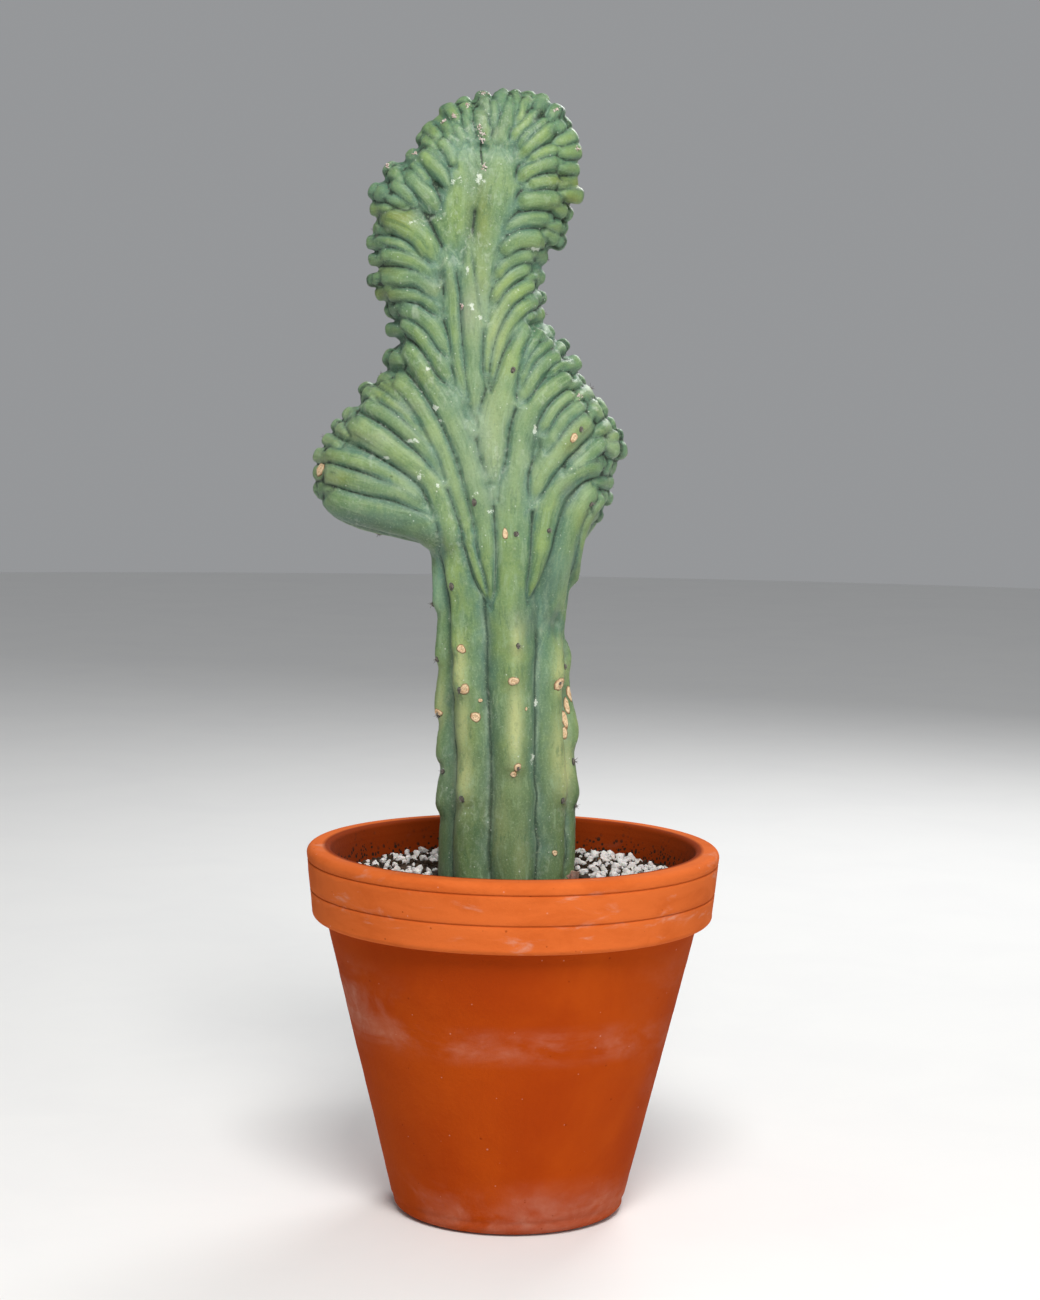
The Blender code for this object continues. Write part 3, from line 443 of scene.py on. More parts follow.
def curve_through(marks, spacing):
    """A Catmull-Rom curve: between b and c it is half of
    2b + (c - a)t + (2a - 5b + 4c - d)t^2 + (3b - a - 3c + d)t^3, sampled evenly."""
    padded = np.concatenate([[2 * marks[0] - marks[1]], marks, [2 * marks[-1] - marks[-2]]])
    a, b, c, d = padded[:-3, None], padded[1:-2, None], padded[2:-1, None], padded[3:, None]
    t = (np.arange(CURVE_STEPS) / CURVE_STEPS)[None, :, None]
    fine = 0.5 * (
        2 * b + (c - a) * t + (2 * a - 5 * b + 4 * c - d) * t ** 2
        + (3 * b - a - 3 * c + d) * t ** 3
    ).reshape(-1, 3)
    fine = np.concatenate([fine, marks[-1:]])
    lengths = np.concatenate([[0.0], np.cumsum(np.linalg.norm(np.diff(fine, axis=0), axis=1))])
    at_marks = lengths[::CURVE_STEPS]
    count = max(4, round(lengths[-1] / spacing))
    even = np.linspace(0.0, lengths[-1], count + 1)
    return between(even, lengths, fine), even, at_marks


print("seen at (0, 300), the skin is at", (on_skin([0.0], [300.0])[0] / MM).round(1))

# %% [markdown]
# ## One rib
#
# Every rib, finger and knob of the plant is the same form: an oval carried along a path on the
# core, standing half out of it. Its tip is round, its root sinks back into the body, and on the
# column it swells above each areole, the felted spot that bears the spines, and is pinched just
# below it. The widths in the lists are half of the room that a rib takes up. In the column the
# tube itself is drawn slimmer, because there the body between the ribs makes the form.

# %% The rib form
RIB_SIDES, CAP_RINGS = 20, 8
CAP_SHARE, FADE_SHARE = 0.35, 0.28  # of a rib's length, at most
RIB_SPACING = 1.8 * MM
RIB_SINK = 2.0 * MM
RISE_LENGTH = 25.0 * MM
FADE_LENGTH = 15.0 * MM
FULL_SIDE = 2 / 2.5
SLIM_BELOW, SLIM_ABOVE = 318 * MM, 342 * MM
RIDGE_GAIN = 1.04
LEAST_SHARE = 0.6  # near its tip a rib keeps at least this much of its room
MELTS_ABOVE, MELTS_FULLY = 2.2 * MM, 4.0 * MM  # half widths: a thin rib's end stays distinct
STEM_TOP = 330 * MM


def swelling(z, areoles):
    """A bell above each areole, long on its upper side and short below, then a narrow dip."""
    total = np.zeros(len(z))
    for areole in areoles:
        above = (z - areole) / MM - 2.0
        total += 2.0 * np.exp(-(above / np.where(above > 0, 14.0, 5.5)) ** 2)
        total -= 0.5 * np.exp(-((above + 8.0) / 4.5) ** 2)
    return total * MM


def rib_form(path, widths, height, root="fades", tip="finger", areoles=(), fading=FADE_LENGTH,
             gain=1.0):
    """Rings of squared-off ovals along the path: across * w * sin^f + out * h * cos^f."""
    places, lengths, at_marks = curve_through(path, RIB_SPACING)
    total = lengths[-1]
    first = min(widths[0] * MM * 1.1, CAP_SHARE * total)
    turn = np.radians(np.linspace(8, 90, CAP_RINGS))
    marks = first * (1.0 - np.cos(turn))
    body = lengths[(lengths > first + 0.6 * MM) & (lengths < total - 0.5 * MM)]
    s = np.concatenate([marks, body])

    def place(at):
        """The spot at each length along the curve."""
        return between(at, lengths, places)

    centre = place(s)
    along = unit(place(np.minimum(s + MM, total)) - place(np.maximum(s - MM, 0.0)))
    out = outward(centre)
    out = unit(out - along * (out * along).sum(axis=1, keepdims=True))
    across = np.cross(along, out)
    roundness = np.sqrt(np.clip(1.0 - (1.0 - np.minimum(s / first, 1.0)) ** 2, 0.0, 1.0))
    fade_length = min(fading, FADE_SHARE * total)
    fade = np.zeros(len(s)) if root == "stays" else soft_step(total - fade_length, total, s)
    rise = soft_step(0.0, RISE_LENGTH, s) if tip == "rises" else np.ones(len(s))
    sink = RIB_SINK * (soft_step(0.15, 0.5, s / total) if tip == "knob" else np.ones(len(s)))
    half_widths = np.interp(s, at_marks, widths) * MM
    wide = half_widths * roundness * (1.0 - 0.35 * fade)
    tall = (height * MM * (1.0 - fade) * rise + sink * (1.0 - 0.6 * fade)) * roundness
    swell = swelling(centre[:, 2], areoles) * gain
    middle = centre - out * sink[:, None]
    slim = 0.5 + 0.5 * soft_step(SLIM_BELOW, SLIM_ABOVE, centre[:, 2])
    angle = round_angles(RIB_SIDES)[:, None]
    rings = (
        middle[:, None]
        + across[:, None] * (wide * slim)[:, None, None] * signed_power(np.sin(angle), FULL_SIDE)
        + out[:, None] * tall[:, None, None] * signed_power(np.cos(angle), FULL_SIDE)
        + out[:, None] * swell[:, None, None] * np.maximum(np.cos(angle), 0.0) ** 5
    )
    end = place(np.array([total]))
    end = end[0] - outward(end)[0] * RIB_SINK
    crest = middle + out * (tall + swell)[:, None]
    shape = closed_tube(rings[:, ::-1], place(np.array([0.0]))[0], end)
    stands = height * MM * (1.0 - 0.5 * fade) * np.maximum(roundness, 0.4)
    full = np.maximum(wide, widths[0] * MM * LEAST_SHARE)
    narrowing = (1.0 - 0.80 * fade) * (0.25 + 0.75 * rise)
    melt = soft_step(0.35, 1.0, np.maximum(fade, 1.0 - rise))
    return {
        "shape": shape, "crest": crest, "out": out, "fade": fade, "tip": tip, "foot": centre,
        "stands": stands * RIDGE_GAIN, "swell": swell, "full": full,
        "wide": full * narrowing, "melt": melt * soft_step(MELTS_ABOVE, MELTS_FULLY, half_widths),
    }


print("a rib's ring has", RIB_SIDES, "points, with a ring every", round(RIB_SPACING / MM, 1), "mm")

# %% [markdown]
# ## The ribs of the front
#
# A crest is read rib by rib. Each entry below is one rib: its half width, its height above the
# core, and the places of its crest from the tip down to the root, as x and z in millimetres.
# A third number changes the half width at that place. A few ribs run on down the whole column.

# %% Lists of the front ribs
UPPER_LEFT_RIBS = (
    (4.6, 4.2, ((-22.4, 557.5), (-21.3, 551), (-19.2, 540))),
    (3.0, 3.6, ((-30, 554.5), (-28.3, 548), (-25.2, 540))),
    (3.6, 4.0, ((-36, 549.5), (-32.9, 544.5), (-28.3, 538))),
    (3.0, 3.8, ((-39.8, 545), (-35.9, 541), (-31, 535))),
    (4.2, 4.6, ((-45, 541), (-37.8, 536), (-32.6, 524))),
    (2.6, 3.6, ((-49, 537), (-43.2, 533), (-37.5, 526))),
    (5.0, 5.0, ((-54, 535.5), (-45.7, 529), (-38.5, 521), (-35, 511))),
    (2.8, 3.6, ((-57.5, 530), (-51.6, 524), (-45.6, 516))),
    (5.0, 5.0, ((-60, 525.5), (-53, 518), (-46, 511), (-40, 502))),
    (4.0, 4.4, ((-67.5, 520.5), (-61, 515.5), (-53, 508))),
    (3.2, 4.0, ((-71, 513), (-64.4, 510), (-56.5, 506.5))),
    (7.0, 6.0, ((-73.5, 501.5), (-61.7, 498.5), (-51.6, 492), (-40.8, 477.5))),
    (3.2, 4.0, ((-76, 489.5), (-66.6, 489.5), (-58.5, 487), (-48, 479))),
    (5.0, 4.8, ((-74.5, 482), (-62.4, 482), (-52.3, 478.5), (-41, 468))),
    (5.4, 5.2, ((-74.5, 471.5), (-62.2, 472), (-51.2, 471), (-39, 458))),
    (4.0, 4.4, ((-70, 463), (-58.6, 463), (-49, 461.5), (-39, 452))),
    (5.0, 5.0, ((-64, 457), (-51.9, 453), (-43.8, 446), (-34, 430))),
    (4.6, 4.8, ((-63, 450), (-53.8, 445.5), (-46.7, 438), (-32, 416))),
)
UPPER_RIGHT_RIBS = (
    (3.5, 3.8, ((-15.4, 559.5), (-14.8, 554.5), (-15.2, 545))),
    (4.8, 4.4, ((-6.9, 560), (-8.3, 553), (-10.7, 546), (-13.3, 536))),
    (3.6, 3.8, ((0.8, 560), (-0.8, 555), (-5, 546.5))),
    (3.8, 4.2, ((8.5, 557), (2.8, 551), (-3.2, 544.5), (-7.2, 538))),
    (2.8, 3.8, ((13, 552), (6.8, 547.5), (0.9, 542.5), (-4.2, 534.5))),
    (4.3, 4.8, ((18, 550), (10.9, 544.5), (3.4, 538.5), (-4, 530))),
    (3.4, 4.2, ((19, 537), (10, 534.5), (0, 529))),
    (4.2, 4.8, ((20, 530.5), (10.6, 529), (3.1, 525.5), (-5, 519))),
    (3.9, 4.4, ((20, 520), (10.8, 520.5), (0, 517.5))),
    (5.2, 5.2, ((21.5, 510), (12.4, 511), (3.3, 511), (-6, 508))),
    (4.4, 4.4, ((16, 501), (4.5, 501.5), (-4, 499.5), (-12.5, 492))),
    (5.8, 6.0, ((14, 489.5), (3.6, 491.5), (-4.3, 490), (-14, 481))),
    (4.2, 4.6, ((8.5, 484), (-0.7, 483), (-8.2, 479), (-16.5, 469))),
    (4.0, 4.6, ((5.5, 477.5), (-3.5, 474), (-10.5, 467.5), (-16.8, 456))),
    (4.4, 4.8, ((9, 470.5), (-0.4, 466), (-7.4, 460), (-14, 447, 4), (-16.5, 433, 3),
                (-17.2, 417, 2))),
    (4.2, 4.6, ((11, 463), (2.2, 458.5), (-4.2, 452), (-10.2, 441, 3.6), (-13.4, 428, 2.6),
                (-15, 414, 1.8))),
)
LOWER_LEFT_RIBS = (
    (5.6, 5.8, ((-62, 437.5), (-53.5, 431), (-46.3, 421), (-34, 400.5), (-23.5, 373),
                (-15.8, 333, 5), (-12.8, 305, 2))),
    (5.3, 5.6, ((-66, 423), (-55.7, 414.5), (-46, 400), (-36.6, 380.5), (-28.2, 355.5, 4.2),
                (-20.8, 327.5, 3), (-14.5, 308, 1.6))),
    (2.9, 3.8, ((-72, 421), (-63.8, 415), (-56.7, 407), (-46.5, 394))),
    (3.9, 4.4, ((-77.5, 417.5), (-67.2, 411.5), (-57.1, 403.5), (-41, 385))),
    (4.8, 5.2, ((-81, 411), (-69.6, 405), (-59, 397.5), (-45, 384), (-36, 368))),
    (6.3, 6.4, ((-89, 402.5), (-77.1, 395.5), (-62.9, 386), (-44.6, 371), (-36.5, 350, 7),
                (-34.8, 334, 8.5), (-33, 318, 10), (-30.5, 293, 11.3), (-29, 272, 11.8),
                (-27.6, 250, 11.8), (-27, 230, 11.8), (-27, 210, 11.8), (-25.8, 185, 11.8),
                (-25, 148, 11.8))),
    (4.6, 5.0, ((-100.8, 384.5), (-88.9, 382), (-75.8, 378), (-59.6, 369.5), (-42, 355))),
    (5.8, 5.8, ((-101.2, 376), (-88.7, 371), (-74.6, 367.5), (-58.5, 364), (-40, 352))),
    (6.8, 6.4, ((-99.5, 363), (-84.5, 357.5), (-66.9, 354), (-52, 350.5), (-44.5, 343),
                (-41.5, 332, 8), (-40, 312, 10), (-38.5, 286, 11.8), (-38.5, 258, 11.8),
                (-37, 235, 11.8), (-37, 213, 11.8), (-37.8, 184, 11.8), (-37.5, 148, 11.8))),
)
LOWER_RIGHT_RIBS = (
    (2.8, 3.8, ((12.5, 448.5), (7.5, 441.5), (2.6, 433), (-1.5, 420))),
    (3.3, 4.2, ((18, 443.5), (11, 438), (4.6, 430.5), (-1, 415))),
    (4.3, 4.8, ((22, 437), (14.7, 432.5), (7.3, 424.5), (-1, 408))),
    (2.6, 3.8, ((26.5, 432), (20.2, 429.5), (13, 423.5))),
    (5.0, 5.6, ((28, 425.8), (19.8, 421.5), (10.4, 413), (2.2, 399.5), (-1.5, 377, 5.5),
                (-2.9, 352, 7.5), (-2.6, 312, 9.6), (-0.5, 286, 10.6), (0.3, 261, 10.6),
                (0.6, 230, 10.6), (0.3, 184.5, 10.6), (0, 148, 10.6))),
    (3.4, 4.0, ((28.5, 416.5), (22.5, 413), (16.6, 406.5), (10, 393))),
    (4.3, 4.6, ((34, 412), (26.6, 406), (20.2, 399), (12, 384))),
    (5.3, 5.8, ((38, 406), (30.2, 399), (21.4, 389), (12, 374.5), (6.5, 358))),
    (4.4, 4.6, ((46, 393), (39.4, 388), (33, 382), (21, 374))),
    (5.3, 5.8, ((46, 379.5), (35.6, 379), (26.1, 374), (17.2, 363.5), (12.6, 342, 4.5),
                (8, 308, 2))),
    (5.5, 5.8, ((42, 368.5), (34.8, 361), (30, 350), (27, 335, 7.5), (25, 318, 9),
                (23, 300, 10.5), (22.3, 285, 11), (22.4, 268, 11.2), (23, 245, 11.4),
                (24.3, 225, 11.4), (24.8, 210, 11.4), (24.4, 185, 11.4), (24, 148, 11.4))),
    (4.0, 6.0, ((46, 365), (39.7, 357), (34, 347), (30.5, 333, 6), (27, 318, 7.5),
                (23.2, 296, 9), (24.2, 288, 9.8), (27.3, 277, 10.5), (27.5, 265, 11),
                (29.5, 240, 11.2), (30, 224, 11.2), (31, 208, 11.2), (31, 184, 11.2),
                (30.5, 148, 11.2))),
)
MIDDLE_RIBS = (
    (10.5, 4.2, ((-29, 539), (-31.6, 527.5), (-33, 514), (-33, 495.5), (-30.5, 478, 7))),
    (11.0, 4.4, ((-12.8, 538), (-11.4, 525.5), (-13.1, 509), (-17.2, 489.5), (-19.5, 473, 8),
                 (-17.3, 450, 5))),
    (6.4, 6.0, ((5.0, 452), (-1.0, 438.5), (-7.7, 421), (-12, 402.5), (-12.7, 385),
                (-10.9, 360, 3))),
    (5.8, 5.4, ((-27.3, 492), (-26, 469.5), (-25.3, 452.5), (-24, 432.5), (-23.7, 417.5),
                (-21.5, 396, 3))),
    (4.0, 5.0, ((-38.3, 486), (-35, 467), (-33.7, 450), (-32, 434.5), (-28.8, 419.5),
                (-23.5, 402, 2.5))),
)

listed = UPPER_LEFT_RIBS + UPPER_RIGHT_RIBS + LOWER_LEFT_RIBS + LOWER_RIGHT_RIBS
print("ribs listed:", len(listed), "and", len(MIDDLE_RIBS), "in the middle")

# %% Make the front ribs
IN_SOIL_BELOW = 160  # millimetres: a listed rib whose foot is lower runs down the column
SIDE_SWELL = 1.3  # the ribs at the column's sides show their swellings in its outline
SIDE_FROM = 30  # millimetres from the middle
# Heights of the areoles on the column's five front ribs, each named by where its foot stands.
COLUMN_AREOLES = {
    -37.5: (308, 280, 252, 228, 202),
    -25: (317, 286, 265, 210),
    0: (288, 270, 226),
    24: (270, 210),
    30.5: (321, 277, 237, 208),
}
NEARER = 0.977  # the column's front is this much nearer to the eye than the plane y = 0


def true_height(z_mm):
    """The height of a spot on the column's front that is seen at z on the plane y = 0."""
    return EYE[2] + (z_mm * MM - EYE[2]) * NEARER


def made_rib(entry, side=FRONT, shift=0.0, **ends):
    """The rib of one entry of the lists, on either side and shifted sideways."""
    half, height, marks = entry
    path = on_skin([m[0] + shift for m in marks], [m[1] for m in marks], side, height)
    widths = [m[2] if len(m) > 2 else half for m in marks]
    return rib_form(path, widths, height, **ends)


def front_ribs():
    """Every listed rib. One whose foot is in the soil has areoles; the others fade out."""
    made = []
    for entry in listed:
        foot_x, foot_z = entry[2][-1][:2]
        down = foot_z < IN_SOIL_BELOW
        areoles = [true_height(z) for z in COLUMN_AREOLES[foot_x]] if down else ()
        gain = SIDE_SWELL if abs(foot_x) > SIDE_FROM else 1.0
        root = "stays" if down else "fades"
        made.append(made_rib(entry, root=root, areoles=areoles, gain=gain))
    made += [made_rib(entry, tip="rises", fading=45 * MM) for entry in MIDDLE_RIBS]
    return made


front = front_ribs()
print(len(front), "front ribs")

# %% [markdown]
# ## The back and the growing edge
#
# The photograph shows only the front, so the back is worked out from it. The growing edge runs
# round the whole crest as a row of knobs. Each knob is the end of two ribs, one for either side,
# and now the one, now the other crosses over the edge, so that the line between them winds as it
# does on a real crest. The column's back carries three more ribs, which makes eight in all, and
# under the fans a few ribs run from the edge down to the column's sides.

# %% Knobs, back ribs and column ribs
# The knobs of the growing edge, as seen from the front: radius, x and z, in millimetres.
LEFT_KNOBS = (
    (3.5, -21, 561), (3.5, -30.4, 558), (4, -37.9, 554.5), (3.8, -41.2, 548.5), (4, -46.7, 545),
    (3.5, -50.2, 540.5), (3, -55.6, 532.5), (4, -66, 525), (4, -73.4, 514.2), (3, -73.5, 505.5),
    (2.8, -72, 495.5), (3, -75.2, 489), (2.8, -74.2, 480.5), (3, -74.8, 470.2),
    (3, -70.4, 463.5), (3, -65.7, 455.5), (3, -65, 446), (4, -65.3, 432), (3, -68.6, 421.8),
    (3.5, -77.4, 416.5), (3, -85.8, 404), (3, -91.5, 398), (2.8, -96.2, 391), (3.3, -100.2, 383),
    (3, -100.6, 374.5), (3, -100.4, 366),
)
RIGHT_KNOBS = (
    (3.8, -11.5, 561.5), (3, -4.5, 561.8), (3.5, 1.8, 561.6), (4, 8.6, 558.8), (3.8, 16, 555),
    (3.5, 20.2, 548.5), (3.8, 23.4, 542), (3.8, 25.4, 535), (3.3, 24.8, 526.5), (3.3, 24, 520),
    (3.5, 27, 513.5), (3.2, 21.8, 504.5), (3.2, 19.4, 497.5), (3.8, 18.2, 490.5),
    (2.8, 10.6, 482.5), (3, 9.2, 473), (3, 9.8, 463), (2.8, 9.4, 455), (3, 14, 446.5),
    (3, 21.5, 440), (3.5, 27, 431), (2.8, 29.8, 422), (3, 33.5, 417), (4, 39.6, 408.5),
    (3.2, 45, 401), (3, 49.4, 395.5), (4.3, 50.2, 387.5), (3.5, 44.6, 379), (3, 45, 371.5),
    (3.2, 44.4, 363.5), (3, 39.6, 354.5),
)
KNOB_FATNESS, FRONT_KNOB_SHARE = 1.2, 0.8
LEAST_REACH, REACH_SHARE = 24.0, 0.55
CROSSING_LUCK = 0.25  # the share of knobs that break the turn of crossing to the back or front
STEM_BACK_ANGLES = (138, 180, 222)  # degrees from the front, over the right
STEM_BACK_MARKS = np.array([352, 330, 300, 270, 240, 210, 180, 148]) * MM
STEM_RIB_HALF = 11.8
STEM_RIB_HEIGHT = 6.6
STEM_HALF_LIMIT = 30 * MM
AREOLE_PITCH, FIRST_AREOLE, STEM_AREOLES = 26.0 * MM, 196 * MM, 5
STAGGER = 0.37  # of the pitch, from one rib to the next
SEED = 7


def underside(x):
    """The lowest height above the column's top at which the core reaches out to x."""
    heights = np.arange(340, 420) * MM
    left, _, right, _ = core_at(heights)
    reached = (left < x) & (x < right)
    return heights[np.argmax(reached)] if reached.any() else heights[0]


def knob_starts(knob, away, radius, fat, side, crosses, lean):
    """The first places of a knob's rib. One that crosses starts beyond the middle and runs over
    the edge; its partner starts below it, so that the line between the two sides winds."""
    tall = fat if side == BACK else FRONT_KNOB_SHARE * fat
    if crosses:
        steps = ((-0.55 * radius, -lean), (radius - tall, 0.1), (-0.7 * radius, 0.95))
    else:
        steps = ((-0.15 * radius, 0.4 + 0.5 * lean), (-0.6 * radius, 1.05))
    return [knob + away * out_by + np.array([0.0, side * fat * y, 0.0]) for out_by, y in steps]


def knob_ribs():
    """Paths that start at a knob, run square to the edge, and bend down as they go in."""
    chance = random.Random(SEED)
    made = []
    for knobs in (LEFT_KNOBS, RIGHT_KNOBS):
        for index, (radius, x, z) in enumerate(knobs):
            before = knobs[max(index - 1, 0)]
            after = knobs[min(index + 1, len(knobs) - 1)]
            edge = unit(np.array([after[1] - before[1], 0.0, after[2] - before[2]]))
            away = np.array([edge[2], 0.0, -edge[0]])
            ridge = core_at(z * MM)[1] / MM
            if away @ np.array([x - ridge, 0.0, 12.0]) < 0:
                away = -away
            reach = max(LEAST_REACH, REACH_SHARE * abs(x - ridge) + 8.0)
            reach = reach * chance.uniform(0.9, 1.15)
            knob = np.array([x, 0.0, z])
            fat = radius * KNOB_FATNESS
            inner = np.array([
                knob - away * reach * inwards - UP * reach * down
                for inwards, down in ((0.3, 0.0), (0.62, 0.14), (0.85, 0.5))
            ])
            for bend in inner[1:]:
                bend[2] = max(bend[2], underside(bend[0] * MM) / MM + 5.0)
            crossing = BACK if (index + (chance.random() < CROSSING_LUCK)) % 2 else FRONT
            lean = chance.uniform(0.5, 1.1)
            for side in (BACK, FRONT):
                if side == FRONT:
                    inner = np.array([knob - away * 6.0, knob - away * 12.0])
                tips = knob_starts(knob, away, radius, fat, side, side == crossing, lean)
                below = on_skin(inner[:, 0], inner[:, 2], side)
                path = np.concatenate([np.array(tips) * MM, below])
                last = [1.1, 1.1] if side == BACK else [0.8, 0.5]
                widths = [fat] * (len(path) - 2) + [fat * share for share in last]
                height = fat if side == BACK else fat * FRONT_KNOB_SHARE
                made.append(rib_form(path, widths, height, tip="knob"))
    return made


# Ribs under the fans, behind the middle: side, half width, height, places as y and z.
UNDER_RIBS = (
    (1, 5.0, 4.8, ((8, 368), (8, 353), (9, 339), (10, 322), (10.5, 300), (9.5, 272))),
    (1, 5.2, 4.8, ((18, 364), (17, 350), (17.5, 338), (19, 322), (20, 304))),
    (-1, 5.0, 4.8, ((9, 368), (9, 352), (9, 343), (10, 328), (10, 300), (9.5, 276))),
    (-1, 5.2, 4.8, ((19, 364), (18, 350), (18, 342), (19, 326), (20, 304))),
)


def under_ribs():
    """Ribs from the fans' edges down the column's sides: x is solved from the core's oval."""
    made = []
    for side, half_width, height, marks in UNDER_RIBS:
        y, z = np.array(marks).T * MM
        left, ridge, right, thick = core_at(z)
        half = right - ridge if side > 0 else ridge - left
        power = fullness(z)
        x = ridge + side * half * (1.0 - (np.abs(y) / thick) ** power) ** (1.0 / power)
        path = stacked(x, y, z)
        made.append(rib_form(path, [half_width] * len(path), height, tip="finger"))
    return made


def back_ribs():
    """The front's longest ribs again on the back, each shifted a little so it isn't a copy."""
    chance = random.Random(SEED + 1)
    longest = [e for e in LOWER_LEFT_RIBS + LOWER_RIGHT_RIBS if len(e[2]) > 4]
    made = []
    for half, height, marks in (*MIDDLE_RIBS, *longest):
        above = tuple(mark for mark in marks[1:] if mark[1] * MM > STEM_TOP - 30 * MM)
        entry = (half, height, above)
        made.append(made_rib(entry, BACK, chance.uniform(-3.0, 3.0), tip="rises"))
    return made


def column_ribs():
    """Ribs down the column at even angles: x = ridge + half * sin, y = -thick * cos."""
    made = []
    left, ridge, right, thick = core_at(STEM_BACK_MARKS)
    for index, degrees in enumerate(STEM_BACK_ANGLES):
        angle = math.radians(degrees)
        half = right - ridge if math.sin(angle) > 0 else ridge - left
        half = np.minimum(half, STEM_HALF_LIMIT)
        path = stacked(ridge + half * math.sin(angle), -thick * math.cos(angle), STEM_BACK_MARKS)
        start = FIRST_AREOLE + (index * STAGGER % 1.0) * AREOLE_PITCH
        areoles = start + np.arange(STEM_AREOLES) * AREOLE_PITCH
        widths = [STEM_RIB_HALF] * len(path)
        made.append(rib_form(path, widths, STEM_RIB_HEIGHT, "stays", "rises", areoles))
        made[-1]["areoles"] = areoles
    return made


edge = knob_ribs()
backs = back_ribs() + under_ribs()
column = column_ribs()
print(len(edge), "edge ribs,", len(backs), "at the back,", len(column), "on the column")

# %% [markdown]
# ## Ribs that share the room
#
# Tubes laid side by side leave flat gaps or wide grooves between them. On the plant the ribs
# press on one another, so the body between them swells until only a thin crease is left. That is
# made with a measure for every point of the core: t is 0 on the crest of the nearest rib and 1
# halfway to the next one. The core is then pushed out by an arch over t, full in the middle and
# steep at the crease. Where a rib ends the push stays high all over, so the rib melts into the
# body. Two kinds of place are listed: the webs, where neighbours have grown together, and
# the slit between the halves of the hood.

# %% Room shared out between the ribs
CORE_SIDES = 320
RIDGE_REACH = 1.6
CREASE_FLOOR = 0.08
ARCH_POWER_CREST, ARCH_POWER_COLUMN = 2.8, 1.45
SWELL_REACH = 0.75
MELT_NEAR, MELT_FAR = 0.5, 1.15  # over a rib's half width: how far round it its end melts away
MELT_FLOOR = 0.80
STEM_X = -2.3 * MM

# Smooth places where ribs have grown together, in the hood and in the fans: x, z and radius.
WEBS = (
    (-21.5, 530, 7), (-21.8, 521, 8), (-22.2, 512, 8), (-33, 411, 8), (-22, 398, 7), (-13, 374, 6),
)
web_centres = on_skin([w[0] for w in WEBS], [w[1] for w in WEBS])
print(len(web_centres), "webs")


def webbed(points):
    """1 at the middle of a web and 0 from its radius on."""
    best = np.zeros(len(points))
    for centre, (_, _, radius) in zip(web_centres, WEBS):
        away = np.linalg.norm(points - centre, axis=1) / (radius * MM)
        best = np.maximum(best, 1.0 - soft_step(0.45, 1.0, away))
    return best


SLIT = np.array([(-21.3, 541.5), (-21.5, 535.0), (-20.8, 528.5)])  # x and z, from the top


def slit_gap(points):
    """How far a point of the front is seen from the slit in the hood, in millimetres."""
    seen = seen_from_front(points) / MM
    heights = np.clip(seen[:, 1], SLIT[-1, 1], SLIT[0, 1])
    middle = np.interp(heights, SLIT[::-1, 1], SLIT[::-1, 0])
    gap = np.hypot(seen[:, 0] - middle, seen[:, 1] - heights)
    return np.where(points[:, 1] < 0.0, gap, 99.0)


def wandering(points):
    """The points moved a little along the column's skin, so that its creases wind."""
    column = 1.0 - soft_step(SLIM_BELOW, SLIM_ABOVE, points[:, 2])
    side = stacked(-points[:, 1], points[:, 0] - STEM_X, 0.0)
    drift = 1.9 * noise(points, 21 * MM, 21) + 0.7 * noise(points, 8 * MM, 22)
    return points + unit(side) * (drift * column * MM)[:, None]


def on_stations(ribs, key):
    """One value for each station of every rib, rib after rib."""
    return np.concatenate([rib[key] for rib in ribs])


def room_shares(points, ribs):
    """For each point: u, its distance to the nearest rib over that rib's half width; t, which
    is 0 on a crest and 1 halfway to the neighbour, 2u / (u + u of the next rib); the nearest
    station of either rib; and how far the ribs' ends there melt into the body."""
    out = outward(points)
    melt = webbed(points)
    points = wandering(points)
    first = np.full(len(points), 9.0)
    second = first.copy()
    mine, rival = np.zeros((2, len(points)), int)
    start = 0
    for rib in ribs:
        foot, wide = rib["foot"], rib["wide"]
        reach = 2.0 * rib["full"].max() + rib["stands"].max()
        inside = (points > foot.min(axis=0) - reach) & (points < foot.max(axis=0) + reach)
        near = np.nonzero(inside.all(axis=1))[0]
        gap = np.linalg.norm(points[near, None] - foot[None], axis=2)
        closest = (gap / wide[None]).argmin(axis=1)
        facing = (out[near] * rib["out"][closest]).sum(axis=1) > 0.1
        u = np.where(facing, (gap / wide[None]).min(axis=1), 9.0)
        better, runner_up = u < first[near], u < second[near]
        here = start + closest
        rival[near] = np.where(better, mine[near], np.where(runner_up, here, rival[near]))
        second[near] = np.where(better, first[near], np.minimum(second[near], u))
        mine[near] = np.where(better, here, mine[near])
        first[near] = np.minimum(first[near], u)
        beside = gap.argmin(axis=1)
        spread = gap.min(axis=1) / rib["full"][beside]
        ends = rib["melt"][beside] * (1.0 - soft_step(MELT_NEAR, MELT_FAR, spread)) * facing
        melt[near] = np.maximum(melt[near], ends)
        start += len(foot)
    t = np.clip(2.0 * first / (first + np.minimum(second, RIDGE_REACH)), 0.0, 1.0)
    rival = np.where(second > RIDGE_REACH, mine, rival)
    return first, t, mine, rival, melt


